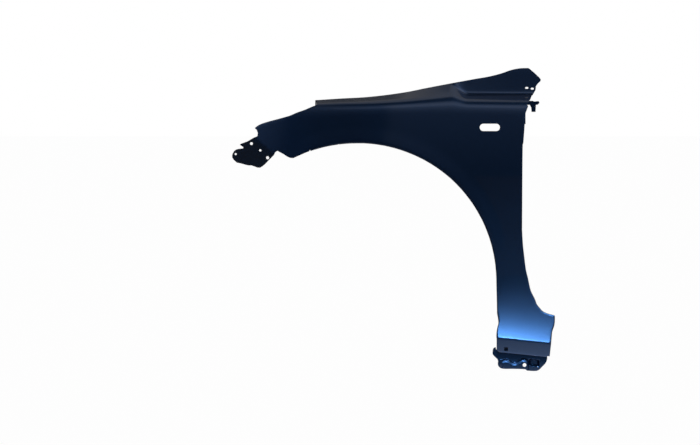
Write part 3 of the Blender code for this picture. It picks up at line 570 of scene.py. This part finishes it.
def fill_outline(sheet, loop, lines, step_at, depth):
    """Triangulate a closed outline with fold lines and inner points, and lift it to its depth.

    Returns the sheet's point index for each point of the loop.
    """
    low = np.min(loop, axis=0)
    high = np.max(loop, axis=0)
    finest = min(step_at(z) for z in np.linspace(low[1], high[1], 50))
    inner = []
    z = low[1] + finest / 2
    row = 0
    while z < high[1]:
        step = step_at(z)
        for x in np.arange(low[0] + step * (0.25 + 0.5 * (row % 2)), high[0], step):
            inner.append((x, z, step))
        z += step * 0.87
        row += 1
    inner = np.array(inner)
    kept = inner[inside(loop, inner)]
    fixed = np.array(loop + [point for line in lines for point in line])
    for start in range(0, len(fixed), 64):
        gap = np.hypot(kept[:, None, 0] - fixed[None, start:start + 64, 0],
                       kept[:, None, 1] - fixed[None, start:start + 64, 1]).min(axis=1)
        kept = kept[gap > 0.62 * kept[:, 2]]
    coordinates = [Vector(p) for p in loop]
    edges = [(k, (k + 1) % len(loop)) for k in range(len(loop))]
    for line in lines:
        first = len(coordinates)
        coordinates += [Vector(p) for p in line]
        edges += [(first + k, first + k + 1) for k in range(len(line) - 1)]
    coordinates += [Vector((p[0], p[1])) for p in kept]
    vertices, _, faces, sources, _, _ = delaunay_2d_cdt(coordinates, edges, [], 1, 1e-5)
    index_of = {}
    numbers = []
    for vertex, source in zip(vertices, sources):
        number = sheet.add_point((vertex.x, depth(vertex.x, vertex.y), vertex.y))
        numbers.append(number)
        for original in source:
            index_of[original] = number
    for face in faces:
        a, b, c = (vertices[i] for i in face)
        turned = (b.x - a.x) * (c.y - a.y) - (b.y - a.y) * (c.x - a.x) < 0
        order = reversed(face) if turned else face
        sheet.faces.append(tuple(numbers[i] for i in order))
    return [index_of[k] for k in range(len(loop))]


# Outline of the side face, seen from outside: counter-clockwise from the arch's tooth

def arch_line():
    """Arch edge from its front end round to the straight edge and the sill."""
    count = round(ARCH_RADIUS * math.radians(ARCH_FRONT_ANGLE) / EDGE_STEP)
    arc = [arch_point(ARCH_FRONT_ANGLE * (1 - k / count)) for k in range(count + 1)]
    straight = resample([rear(0, 0), sill(1.6, 61)], EDGE_STEP)
    relief = rounded([sill(1.6, 61), sill(4.5, 45), sill(4.5, 35), sill(0.8, 19), sill(0, 1),
                      rear(0, lower_bend_height(ARCH_RADIUS) + 1)], EDGE_STEP)
    return arc + straight[1:] + relief[1:]


def tooth_line():
    """Raw edge from the notch beside the bumper tab, round the arch's tooth to the arch."""
    corner = [front(-30, 20.5), front(-19.5, 11.2), front(-12, 6), front(-4, 2.6), front(3, 2.2)]
    return corner + [arch_point(ARCH_FRONT_ANGLE + past) for past in (2.5, 0.6, 0.0)]


def door_line():
    """Door edge from its bottom corner up to the shoulder."""
    toe_x = rear_x(FOOT_REACH)
    corner = resample([(toe_x, lower_bend_height(toe_x)), sill(130.6, -17), sill(132.4, 3)], EDGE_STEP)
    foot = rounded([sill(132.4, 3), sill(134.2, 17), sill(139.4, 33), sill(140.2, 53)], EDGE_STEP)
    flare = rounded([sill(140.2, 53), sill(124, 57), sill(111, 63), sill(103.5, 71), sill(96.5, 80),
                     sill(92, 92), sill(82, 113), rear(LEG_WIDTH + 14.5, 8.6), rear(LEG_WIDTH + 9.5, 30),
                     rear(LEG_WIDTH + 5.5, 62), rear(LEG_WIDTH + 2.4, 90), rear(LEG_WIDTH + 0.4, 125)],
                    EDGE_STEP)
    upper = rounded([rear(LEG_WIDTH + 0.4, 125), upper_rear(1.6, -22), upper_rear(3.4, 0),
                     upper_rear(6.2, 38), upper_rear(7.2, 66)], EDGE_STEP)
    return corner + foot[1:] + flare[1:] + upper[1:]


def headlight_line():
    """Headlight edge from the shoulder down to the panel's front tip."""
    return rounded([front(60.5, 133.2), front(45, 126.6), front(30, 119.5), front(10, 112),
                    front(-6.7, 104.4), front(-30.7, 97.2), front(-57, 90), front(-78.5, 82.5),
                    front(-90.2, 74.4)], EDGE_STEP)


def tab_line():
    """Raw edge of the bumper tab, from the headlight edge's tip round to the notch beside the arch."""
    neck = [front(-85, 69.5), front(-82.1, 61.5), front(-83.3, 54)]
    top = [front(-92.4, 50.2), front(-107.3, 41), front(-123.9, 34.4), front(-125.4, 31.7)]
    slot = [front(-117.4, 26.6), front(-117.8, 23.4)]
    nose = rounded([front(-124.4, 22.4), front(-135, 20.2), front(-142, 13), front(-145, 2.6),
                    front(-141, -5.1), front(-133, -12.1)], 6.0)
    bottom = rounded([front(-133, -12.1), front(-122, -14), front(-107.5, -17.8), front(-96, -18.2),
                      front(-79.4, -23.4), front(-67.4, -16), front(-55.4, -3.4)], 7.0)
    side = [front(-43.4, 9), front(-40.5, 15.6), front(-35.2, 19.4)]
    return neck + top + slot + nose + bottom[1:] + side


def skin_step(z):
    """Spacing of the side face's points at a height."""
    return LEG_STEP if z < FLARE_TOP else SKIN_STEP


def fold_lines():
    """Fold lines of the side face: the crease over the sill and the bumper tab's bend."""
    lines = []
    step_start, step_end = CREASE_STEP_RISE
    for shift in (-CREASE_BLEND, -step_start, step_start, (step_start + step_end) / 2, step_end):
        ends = [(x, crease_height(x) + shift) for x in (rear_x(6), rear_x(125))]
        lines.append(resample(ends, LEG_STEP))
    start, end = front(-87, 43.5), front(-47.5, 9.5)
    along = (Vector(end) - Vector(start)).normalized()
    for shift in (-TAB_BEND_BLEND, 0.0, TAB_BEND_BLEND):
        aside = Vector((along.y, -along.x)) * shift
        lines.append(resample([Vector(start) + aside, Vector(end) + aside], 9.0))
    return lines


def row_end_right(station):
    """Where the upper body's rows end at the rear, before the sail's corner is cut."""
    ends = [(0, 7.5 - BEND_RADIUS), (0.5, 12.0), (1, 20.5), (2, 24.5), (3, 46.0), (4, 46.0)]
    return upper_rear(float(np.interp(station, *zip(*ends))), 0)[0]


def row_starts():
    """Where each row of the upper body starts at the front, along the headlight edge up to the hood edge."""
    edge = inset(headlight_line(), BEND_RADIUS)[::-1]
    places, heights = zip(*edge)
    starts = []
    for row, station in enumerate(section_stations()):
        x = hood_corner()
        if station < 4:
            for _ in range(12):
                x = float(np.interp(section(x)[row].y, heights, places))
        starts.append(x)
    return starts


def column_places():
    """Places along the hood edge where the upper body's columns stand, dense at the bolt pads' edges."""
    first, last = hood_corner(), row_end_right(4)
    stops = [first]
    for place in hood_bolt_places():
        stops += [place - PAD_REACH - PAD_RAMP, place - PAD_REACH, place + PAD_REACH,
                  place + PAD_REACH + PAD_RAMP]
    stops = sorted(stop for stop in stops if first <= stop <= last) + [last]
    places = [first]
    for start, end in zip(stops, stops[1:]):
        if end - start < 1.0:
            continue
        count = max(1, round((end - start) / COLUMN_STEP))
        places += [start + (end - start) * (k + 1) / count for k in range(count)]
    return places


def upper_body(sheet):
    """Rows of points from the shoulder over ledge, sail and hood edge to the hood ledge's rim."""
    places = column_places()
    first, last = places[0], places[-1]
    rows = []
    starts = row_starts()
    for row, station in enumerate(section_stations()):
        numbers = []
        for place in places:
            x = place + (starts[row] - first) * (1 - ease(place, first, first + FRONT_FAN))
            x += (row_end_right(station) - last) * ease(place, last - REAR_FAN, last)
            spot = section(x)[row]
            numbers.append(sheet.add_point((x, spot.x, spot.y)))
        rows.append(numbers)
    for lower, upper in zip(rows, rows[1:]):
        sheet.add_strip(lower, upper)
    return rows


def fender_sheet():
    """The whole panel as one open sheet: side face, upper body and bent flanges."""
    sheet = Sheet()
    rows = upper_body(sheet)
    top = [(sheet.points[i].x, sheet.points[i].z) for i in reversed(rows[0])]
    tooth = tooth_line()
    arch = inset(arch_line(), BEND_RADIUS)
    door = inset(door_line(), BEND_RADIUS)
    light = inset(headlight_line(), BEND_RADIUS)
    first_bottom, last_bottom = arch[-1], door[0]
    bottom = resample([first_bottom, last_bottom], LEG_STEP)
    door = [p for p in door if p[1] < top[0][1] - EDGE_STEP / 2]
    light = [p for p in light if p[0] < top[-1][0] - EDGE_STEP / 2]
    tab = tab_line()
    pieces = [tooth[1:-1], arch, bottom[1:-1], door, top, light, tab]
    loop = [point for piece in pieces for point in piece]
    starts = np.cumsum([0] + [len(piece) for piece in pieces])
    skin = Sheet()
    numbers = fill_outline(skin, loop, fold_lines(), skin_step, skin_y)
    shared = dict(zip(numbers[starts[4]:starts[5]], reversed(rows[0])))
    moved = [shared[k] if k in shared else sheet.add_point(point) for k, point in enumerate(skin.points)]
    sheet.faces += [tuple(moved[i] for i in face) for face in skin.faces]
    numbers = [moved[i] for i in numbers]

    def chain(piece):
        """Point numbers of one piece of the loop."""
        return numbers[starts[piece]:starts[piece + 1]]

    stations = section_stations()
    door_rows = [row for row, station in zip(rows, stations) if station <= 0.5]
    light_rows = [row for row, station in zip(rows, stations) if station <= 2.5]
    door_side = chain(3) + [row[-1] for row in door_rows]
    light_side = [row[0] for row in light_rows[::-1]] + chain(5)
    sheet.add_flange(chain(1), lambda t: ARCH_FLANGE * min(1, 0.25 + 6 * t, 0.35 + 9 * (1 - t)))
    sheet.add_flange(door_side, lambda t: DOOR_FLANGE * min(1, 0.3 + 12 * t, 0.4 + 8 * (1 - t)))
    sheet.add_flange(light_side, lambda t: HEADLIGHT_FLANGE * min(1, 0.3 + 6 * t, 0.3 + 6 * (1 - t)))
    sheet.add_flange(chain(2), LOWER_FLANGE)
    return sheet


# Blender objects

def new_object(name, data):
    """An object in the scene."""
    thing = bpy.data.objects.new(name, data)
    bpy.context.scene.collection.objects.link(thing)
    return thing


def sheet_object(name, sheet, thickness, material):
    """Make an open sheet an object, thickened inward by Solidify."""
    mesh = bpy.data.meshes.new(name)
    mesh.from_pydata([point * MM for point in sheet.points], [], sheet.faces)
    mesh.validate()
    thing = new_object(name, mesh)
    mesh.materials.append(material)
    solidify = thing.modifiers.new("sheet_thickness", "SOLIDIFY")
    solidify.thickness = thickness * MM
    solidify.offset = -1.0
    return thing


def prism(bm, outline, middle, axis, reach):
    """Add a closed prism: an outline in the plane across an axis, reaching both ways from its middle."""
    axis = Vector(axis).normalized()
    side = Vector((0, 0, 1)).cross(axis)
    side = side.normalized() if side.length > 0.1 else Vector((1, 0, 0))
    up = axis.cross(side)
    ends = []
    for way in (-reach, reach):
        ends.append([bm.verts.new((Vector(middle) + side * a + up * b + axis * way) * MM)
                     for a, b in outline])
    bm.faces.new(ends[0])
    bm.faces.new(ends[1][::-1])
    for k in range(len(outline)):
        j = (k + 1) % len(outline)
        bm.faces.new((ends[0][j], ends[0][k], ends[1][k], ends[1][j]))


def slot_outline(length, height, sides=12):
    """A slot with round ends, or a circle where its length is its height."""
    radius = height / 2
    shift = length / 2 - radius
    points = []
    for end in (1, -1):
        for k in range(sides + 1):
            angle = math.pi * (k / sides - end / 2)
            points.append((end * shift + radius * math.cos(angle), radius * math.sin(angle)))
    if shift < 1e-6:
        return points[:sides] + points[sides + 1:-1]
    return points


def add_cutter(name, cuts, target, solver="EXACT"):
    """One cutter of several closed prisms, taken out of its target."""
    bm = bmesh.new()
    for outline, middle, axis, reach in cuts:
        prism(bm, outline, middle, axis, reach)
    bmesh.ops.recalc_face_normals(bm, faces=bm.faces)
    mesh = bpy.data.meshes.new(name)
    bm.to_mesh(mesh)
    bm.free()
    boolean = target.modifiers.new(name, "BOOLEAN")
    boolean.operation = "DIFFERENCE"
    boolean.solver = solver
    boolean.object = new_object(name, mesh)


def skin_cut(outline, point, reach=CUT_REACH):
    """A hole punched through the side face at a point of the side view."""
    x, z = point
    return outline, (x, skin_y(x, z), z), (0, 1, 0), reach


def rear_cut(points, depth, reach):
    """A cut across the car, its points measured from the upper door edge."""
    x, z = upper_rear(0, 0)
    return [(-a, b) for a, b in points], (x, depth, z), (0, 1, 0), reach


def hood_pad(place):
    """Middle of a bolt pad on the hood ledge."""
    edge_y = skin_y(place, shoulder_height(place)) + top_width(place) + HOOD_EDGE_RADIUS
    return Vector((place, edge_y + HOOD_PAD * 0.52, hood_height(place) - HOOD_WALL))


def square_hole_place():
    """Clip hole in the lower face, in the side view."""
    return sill(22.5, -28)


def fender_cuts():
    """Every hole in the panel, with the sail's cut corner."""
    cuts = [skin_cut(slot_outline(LAMP_HOLE_LENGTH, LAMP_HOLE_HEIGHT), upper_rear(-77.2, 37.0))]
    half = SQUARE_HOLE / 2
    square = [(-half, -half), (half, -half), (half, half), (-half, half)]
    cuts.append(skin_cut(square, square_hole_place(), reach=8))
    for point, size in ((front(-97.5, 35.8), TAB_HOLE), (front(-76.3, 19.8), TAB_HOLE - 1.5),
                        (front(-58.5, 2.2), TAB_HOLE + 0.5), (front(-136, 9), TAB_HOLE - 2)):
        cuts.append(skin_cut(slot_outline(size, size, 8), point, reach=9))
    for k in range(LINER_HOLES):
        x, z = arch_point(ARCH_FRONT_ANGLE - 12 - (ARCH_FRONT_ANGLE - 16) * k / (LINER_HOLES - 1))
        spot = (x, skin_y(x, z) + ARCH_FLANGE * 0.6, z)
        cuts.append((slot_outline(LINER_HOLE, LINER_HOLE, 7), spot, (x, 0, z), 4))
    for place in hood_bolt_places():
        spot = hood_pad(place)
        cuts.append((slot_outline(HOOD_BOLT_HOLE, HOOD_BOLT_HOLE, 8), spot, (0, 0, 1), 6))
    sail_y = skin_y(ARCH_RADIUS, shoulder_height(ARCH_RADIUS)) + LEDGE_WIDTH
    for offset, rise in ((12.4, 130.2), (25.6, 128.4)):
        x, z = upper_rear(offset, rise)
        cuts.append((slot_outline(*SAIL_SLOT, 6), (x, sail_y + 5, z), (0, 1, 0), 22))
    corner = [(13.5, 190), (15.5, 178.5), (20, 175.5), (31.5, 165.8), (43, 154.8), (46.5, 150), (45, 146),
              (39.5, 141), (34.6, 134.5), (33.6, 125.4), (30.6, 119.9), (27.6, 115.3),
              (26.0, 111.0), (70, 109), (70, 190)]
    cuts.append(rear_cut(corner, sail_y + 20, 45))
    return cuts


# Sill bracket

def flange_underside(x):
    """Height of the lower flange's underside, where the sill bracket's flange meets it."""
    left = lower_bend_height(ARCH_RADIUS) + 1
    right = lower_bend_height(rear_x(FOOT_REACH)) + 0.3
    share = (x - ARCH_RADIUS - BEND_RADIUS) / (FOOT_REACH - 2 * BEND_RADIUS)
    rise = LOWER_FACE_LEAN * (SILL_PLATE_SETBACK + BEND_RADIUS)
    return left + (right - left) * share - BEND_RADIUS + rise


def sill_plate_y(x, z):
    """Depth of the bracket's plate: an embossed seat for the bolt with a wavy top, and a pocket behind it."""
    seat_x = x - ARCH_RADIUS
    under = z - flange_underside(x)
    plate = skin_y(rear_x(60), lower_bend_height(rear_x(60))) + SILL_PLATE_SETBACK
    top = WAVE_BASE + sum(rise * bump(seat_x - place, width) for place, width, rise in WAVES)
    crest = sum(share * ease(under, top - start, top - end) for share, start, end in SEAT_SLOPES)
    emboss = plateau(seat_x, *SILL_EMBOSS_ENDS, SILL_EMBOSS_RAMP) * (1 - crest)
    pocket = plateau(seat_x, *SILL_POCKET_ENDS, SILL_POCKET_RAMP)
    pocket *= ease(under, *SILL_POCKET_BOTTOM) * (1 - ease(under, *SILL_POCKET_TOP))
    return plate - SILL_EMBOSS * emboss + SILL_POCKET * pocket


def sill_bracket_sheet():
    """The bracket as one sheet: plate, front ear, a flange under the panel's own and a tab up from it."""
    drop = SEAT_GAP + BEND_RADIUS
    top_right, top_left = rear_x(121.5), rear_x(3.5)
    base = flange_underside(ARCH_RADIUS)
    bottom = rounded([rear(3.6, base - 23), rear(3.8, base - 34), rear(13.4, base - 41),
                      rear(40, base - 41.6), rear(67.6, base - 42.5), rear(74.5, base - 46),
                      rear(97.4, base - 46.4), rear(110, base - 36.2), rear(118, base - 27.5),
                      (top_right, flange_underside(top_right) - drop - 3)], PLATE_STEP)
    top = [(x, flange_underside(x) - drop) for x in np.linspace(top_right, top_left, 26)]
    ear_right = rear_x(-BEND_RADIUS / 2)
    ear = [rear(4.4, top[-1][1] + 1.0), rear(4.4, base + 7.0), (ear_right, base + 4.5),
           (ear_right, base + 8.5)]
    ear += rounded([(ear_right - 1.5, base + 10.5), (ear_right - 6.5, base + 7), rear(-9.6, base - 1.5),
                    rear(-8.8, base - 7.5), rear(-3.5, base - 13.5), rear(2, base - 18.5)], PLATE_STEP)
    sheet = Sheet()
    loop = bottom + top + ear
    numbers = fill_outline(sheet, loop, [], lambda z: PLATE_STEP, sill_plate_y)
    turn = 90.0 - math.degrees(math.atan(LOWER_FACE_LEAN))
    edge = sheet.add_flange(numbers[len(bottom):len(bottom) + len(top)], SILL_TOP_FLANGE, turn)
    hole_x = square_hole_place()[0]
    behind = [index for index in edge if abs(sheet.points[index].x - hole_x) < SILL_TAB_WIDTH / 2]
    sheet.add_flange(behind, SILL_TAB_HEIGHT, -90.0, -BEND_RADIUS)
    return sheet


def sill_bolt_place():
    """Bolt hole of the sill bracket, in the side view."""
    x = rear_x(67)
    return x, flange_underside(x) - 25.5


# Rear upper bracket

def angle_profile():
    """The angle seen from above: foot along the door flange, a bend, and the leg behind the shoulder."""
    foot_x = upper_rear(5.6 - SHEET - SEAT_GAP, 0)[0]
    start_y = skin_y(foot_x, ARCH_RADIUS + 50) + BEND_RADIUS + 1
    leg_y = start_y + ANGLE_DEPTH
    points = [(foot_x, start_y), (foot_x, leg_y - BEND_RADIUS)]
    for step in (1, 2, 3):
        angle = math.radians(30 * step)
        points.append((foot_x + BEND_RADIUS * (1 - math.cos(angle)),
                       leg_y - BEND_RADIUS * (1 - math.sin(angle))))
    points.append((upper_rear(45, 0)[0], leg_y))
    return points


def angle_sheet():
    """The angle before its outline is cut, from below the shoulder up to the upper prong."""
    sheet = Sheet()
    rows = []
    for rise in ANGLE_RISE:
        rows.append([sheet.add_point((x, y, ARCH_RADIUS + rise)) for x, y in angle_profile()])
    sheet.add_strip(rows[0], rows[1])
    return sheet


def angle_cuts():
    """Cuts that leave the angle's foot and its two prongs."""
    profile = angle_profile()
    leg_y = profile[-1][1]
    prongs = [(9, 38), (9, 86), (12, 90.2), (19, 90.2), (22.4, 84), (23.4, 73.3), (33, 73.3), (34, 90.4),
              (38.5, 90.8), (42.6, 95), (40.5, 99.4), (30, 98.4), (24, 101), (16, 102), (16, 120),
              (70, 120), (70, 38)]
    cuts = [rear_cut(prongs, leg_y, 8)]
    foot_x, foot_y = profile[0]
    middle = (foot_x, foot_y, ARCH_RADIUS + ANGLE_RISE[0] + ANGLE_FOOT + 30)
    across = leg_y - BEND_RADIUS - 1 - foot_y
    box = [(-across, -30), (across, -30), (across, 30), (-across, 30)]
    cuts.append((box, middle, (1, 0, 0), 6))
    return cuts


# Finish

def colour_ramp(tree, factor, stops):
    """Colour by a factor from 0 to 1: each stop has its position and its colour."""
    node = tree.nodes.new("ShaderNodeValToRGB")
    ramp = node.color_ramp
    for position, _ in stops[1:-1]:
        ramp.elements.new(position)
    for stop, (position, colour) in zip(ramp.elements, stops):
        stop.position = position
        stop.color = (*colour, 1.0)
    tree.links.new(factor, node.inputs["Fac"])
    return node.outputs["Color"]


def map_range(tree, value, start, end, low=0.0, high=1.0, kind="LINEAR"):
    """A value carried from one range onto another and held at both ends."""
    node = tree.nodes.new("ShaderNodeMapRange")
    node.interpolation_type = kind
    limits = {"From Min": start, "From Max": end, "To Min": low, "To Max": high}
    for name, limit in limits.items():
        node.inputs[name].default_value = limit
    tree.links.new(value, node.inputs["Value"])
    return node.outputs["Result"]


def noise(tree, place, scale, detail):
    """Noise over the object, about 0 to 1."""
    node = tree.nodes.new("ShaderNodeTexNoise")
    node.inputs["Scale"].default_value = scale
    node.inputs["Detail"].default_value = detail
    tree.links.new(place, node.inputs["Vector"])
    return node.outputs["Fac"]


def relief(tree, height, strength, distance):
    """Normal of a surface with small bumps, their height in metres."""
    node = tree.nodes.new("ShaderNodeBump")
    node.inputs["Strength"].default_value = strength
    node.inputs["Distance"].default_value = distance
    tree.links.new(height, node.inputs["Height"])
    return node.outputs["Normal"]


def new_material(name):
    """A material, its node tree, its shader, and the coordinates of the object that it is on."""
    material = bpy.data.materials.new(name)
    material.use_nodes = True
    tree = material.node_tree
    place = tree.nodes.new("ShaderNodeTexCoord").outputs["Object"]
    return material, tree, tree.nodes["Principled BSDF"], place


def paint_finish(name, depth, coat):
    """Dark blue metallic paint: fine flake, a little orange peel, and a hard clear coat. A depth under 1
    gives a darker copy of it, which is painted shade.
    """
    material, tree, shader, place = new_material(name)
    shader.inputs["Metallic"].default_value = PAINT_METALLIC
    shader.inputs["Coat Weight"].default_value = coat
    shader.inputs["Coat Roughness"].default_value = 0.03
    shader.inputs["Coat IOR"].default_value = 1.5
    deep = [level * depth for level in PAINT_DEEP]
    flake = [level * depth for level in PAINT_FLAKE]
    colour = colour_ramp(tree, noise(tree, place, 2600.0, 1.0), [(0.3, deep), (0.75, flake)])
    tree.links.new(colour, shader.inputs["Base Color"])
    smooth, dull = PAINT_ROUGHNESS - ROUGHNESS_SPREAD, PAINT_ROUGHNESS + ROUGHNESS_SPREAD
    rough = map_range(tree, noise(tree, place, 9.0, 2.0), 0.0, 1.0, smooth, dull)
    tree.links.new(rough, shader.inputs["Roughness"])
    peel = relief(tree, noise(tree, place, 260.0, 1.0), 0.02, 0.0004)
    tree.links.new(peel, shader.inputs["Coat Normal"])
    return material


def inner_finish():
    """The sheet's inner side: thin satin coat over primer, with a soft mottle of overspray."""
    material, tree, shader, place = new_material("inner_coat")
    mottle = noise(tree, place, 34.0, 6.0)
    colour = colour_ramp(tree, mottle, [(0.35, INNER_DARK), (0.7, INNER_LIGHT)])
    tree.links.new(colour, shader.inputs["Base Color"])
    tree.links.new(map_range(tree, mottle, 0.0, 1.0, 0.38, 0.6), shader.inputs["Roughness"])
    grain = relief(tree, noise(tree, place, 900.0, 2.0), 0.12, 0.0002)
    tree.links.new(grain, shader.inputs["Normal"])
    return material


# Studio

def area_lamp(name, place, target, size, energy, spread):
    """A soft rectangular lamp at a place, turned to a target, shining within its spread in degrees."""
    data = bpy.data.lights.new(name, "AREA")
    data.shape = "RECTANGLE"
    data.size, data.size_y = size
    data.energy = energy
    data.spread = math.radians(spread)
    lamp = new_object(name, data)
    lamp.visible_camera = False
    lamp.location = place
    lamp.rotation_euler = (Vector(target) - Vector(place)).to_track_quat("-Z", "Y").to_euler()


def math_node(tree, operation, first, second):
    """A math node whose inputs are sockets or numbers."""
    node = tree.nodes.new("ShaderNodeMath")
    node.operation = operation
    for socket, value in zip(node.inputs, (first, second)):
        if isinstance(value, float):
            socket.default_value = value
        else:
            tree.links.new(value, socket)
    return node.outputs["Value"]


def level_ramp(tree, place, levels):
    """Light of the room along one way, from 0 to 1: each stop has a place, a level and how blue it is."""
    stops = [(position, (level / blue, level, level * blue)) for position, level, blue in levels]
    return colour_ramp(tree, place, stops)


def white_share(tree, seen, mirrored):
    """How white the background is: to the camera, to matt surfaces, and as metal and glass show it."""
    path = tree.nodes.new("ShaderNodeLightPath")
    direct = math_node(tree, "MULTIPLY", path.outputs["Is Camera Ray"], seen)
    matt = math_node(tree, "MULTIPLY", path.outputs["Is Diffuse Ray"], PLAIN_LEVEL)
    shown = math_node(tree, "MAXIMUM", path.outputs["Is Glossy Ray"], path.outputs["Is Transmission Ray"])
    clear = math_node(tree, "MULTIPLY", shown, mirrored)
    return math_node(tree, "ADD", math_node(tree, "ADD", direct, matt), clear)


def whitened(tree, share, own, white):
    """A shader that turns from its own light to white by a share."""
    node = tree.nodes.new("ShaderNodeMixShader")
    for socket, source in zip(node.inputs, (share, own, white)):
        tree.links.new(source, socket)
    return node.outputs["Shader"]


def studio_world():
    """White to the camera and behind the object, plain light on matt surfaces, else a dark room."""
    world = bpy.data.worlds.new("studio")
    bpy.context.scene.world = world
    world.use_nodes = True
    tree = world.node_tree
    tree.nodes.clear()
    way = tree.nodes.new("ShaderNodeSeparateXYZ")
    tree.links.new(tree.nodes.new("ShaderNodeTexCoord").outputs["Generated"], way.inputs["Vector"])
    front_room = tree.nodes.new("ShaderNodeVectorMath")
    front_room.operation = "MULTIPLY"
    tree.links.new(level_ramp(tree, way.outputs["Z"], FRONT_LEVELS), front_room.inputs[0])
    across = map_range(tree, way.outputs["X"], -1.0, 1.0)
    tree.links.new(level_ramp(tree, across, SIDE_LEVELS), front_room.inputs[1])
    mix = tree.nodes.new("ShaderNodeMix")
    mix.data_type = "RGBA"
    tree.links.new(map_range(tree, way.outputs["Y"], *BEHIND_EDGE), mix.inputs["Factor"])
    tree.links.new(front_room.outputs["Vector"], mix.inputs["A"])
    tree.links.new(level_ramp(tree, way.outputs["Z"], BEHIND_LEVELS), mix.inputs["B"])
    room = tree.nodes.new("ShaderNodeBackground")
    tree.links.new(mix.outputs["Result"], room.inputs["Color"])
    white = tree.nodes.new("ShaderNodeBackground")
    white.inputs["Color"].default_value = (1, 1, 1, 1)
    share = white_share(tree, 1.0, map_range(tree, way.outputs["Y"], *BACKDROP_EDGE))
    shader = whitened(tree, share, room.outputs["Background"], white.outputs["Background"])
    out = tree.nodes.new("ShaderNodeOutputWorld")
    tree.links.new(shader, out.inputs["Surface"])


def studio_floor(low):
    """Plain pale floor under the part. What lies near the part shows in its paint."""
    material, tree, shader, place = new_material("pale_floor")
    shader.inputs["Base Color"].default_value = FLOOR_COLOUR
    shader.inputs["Roughness"].default_value = FLOOR_ROUGHNESS
    far = tree.nodes.new("ShaderNodeVectorMath")
    far.operation = "LENGTH"
    tree.links.new(place, far.inputs[0])
    near = map_range(tree, far.outputs["Value"], 0.0, FLOOR_MIRROR_REACH, 1.0, 0.0, "SMOOTHSTEP")
    glow = tree.nodes.new("ShaderNodeEmission")
    share = white_share(tree, FLOOR_GLOW, near)
    surface = whitened(tree, share, shader.outputs["BSDF"], glow.outputs["Emission"])
    tree.links.new(surface, tree.nodes["Material Output"].inputs["Surface"])
    bpy.ops.mesh.primitive_plane_add(size=FLOOR_SIZE, location=(FLOOR_MIDDLE_X, 0, low))
    floor = bpy.context.object
    floor.name = "studio_floor"
    floor.data.materials.append(material)


def photo_camera(shift):
    """Long lens square to the panel's side, framed as the photograph."""
    middle_x = (PHOTO_SIZE[0] / 2 - WHEEL_CENTRE_PX[0]) * MM_PER_PX
    middle_z = (WHEEL_CENTRE_PX[1] - PHOTO_SIZE[1] / 2) * MM_PER_PX
    target = Vector((middle_x, 0.0, middle_z)) * MM - shift
    rise = math.radians(CAMERA_ELEVATION)
    back = Vector((0.0, -math.cos(rise), math.sin(rise)))
    data = bpy.data.cameras.new("photo_camera")
    data.sensor_width = 36.0
    data.lens = data.sensor_width * CAMERA_DISTANCE / (PHOTO_SIZE[0] * MM_PER_PX * MM)
    data.clip_end = 100.0
    camera = new_object("photo_camera", data)
    camera.location = target + back * CAMERA_DISTANCE
    camera.rotation_euler = (-back).to_track_quat("-Z", "Y").to_euler()
    bpy.context.scene.camera = camera


def finish_piece(thing, shift):
    """Bake a piece's modifiers, drop its cutters, and move its mesh into the part's own frame."""
    depsgraph = bpy.context.evaluated_depsgraph_get()
    mesh = bpy.data.meshes.new_from_object(thing.evaluated_get(depsgraph))
    mesh.transform(Matrix.Translation(-shift))
    for modifier in thing.modifiers:
        if modifier.type == "BOOLEAN":
            bpy.data.objects.remove(modifier.object)
    thing.modifiers.clear()
    thing.data = mesh
    mesh.shade_smooth()
    mesh.set_sharp_from_angle(angle=math.radians(SHARP_ANGLE))


def main():
    """Dress the part: pressed pieces, finish, studio and camera."""
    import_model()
    cad_low, cad_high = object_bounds()
    shift = (hood_pad(hood_bolt_places()[1]) + Vector((HOOD_BOLT_HOLE, 0, -SHEET))) * MM
    paint, inner = paint_finish("body_paint_gloss", 1.0, 1.0), inner_finish()
    # The sill bracket gets a darker copy of the body paint with less clear coat: painted shade under the
    # panel's lower face
    shaded_bracket_paint = paint_finish("body_paint_painted_shade", BRACKET_SHADE_DEPTH, BRACKET_SHADE_COAT)
    pieces = {}
    pieces["fender_panel"] = sheet_object("panel_skin", fender_sheet(), SHEET, paint)
    add_cutter("panel_holes", fender_cuts(), pieces["fender_panel"], "MANIFOLD")
    pieces["sill_bracket"] = sheet_object("sill_stamping", sill_bracket_sheet(), SHEET, shaded_bracket_paint)
    bolt_x, bolt_z = sill_bolt_place()
    bolt_middle = (bolt_x, sill_plate_y(bolt_x, bolt_z), bolt_z)
    bolt = (slot_outline(SILL_BOLT_HOLE, SILL_BOLT_HOLE, 8), bolt_middle, (0, 1, 0), 5)
    add_cutter("sill_bolt_hole", [bolt], pieces["sill_bracket"])
    pieces["rear_upper_bracket"] = sheet_object("door_angle", angle_sheet(), ANGLE_SHEET, paint)
    add_cutter("angle_outline", angle_cuts(), pieces["rear_upper_bracket"])
    for node, piece in pieces.items():
        piece.data.materials.append(inner)
        piece.modifiers["sheet_thickness"].material_offset = 1
        finish_piece(piece, shift)
        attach(piece, "root")
        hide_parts(node)
    studio_world()
    studio_floor(cad_low[2])
    for lamp in LAMPS:
        area_lamp(*lamp)
    photo_camera(shift)
    bpy.context.scene.view_settings.view_transform = "Standard"


main()
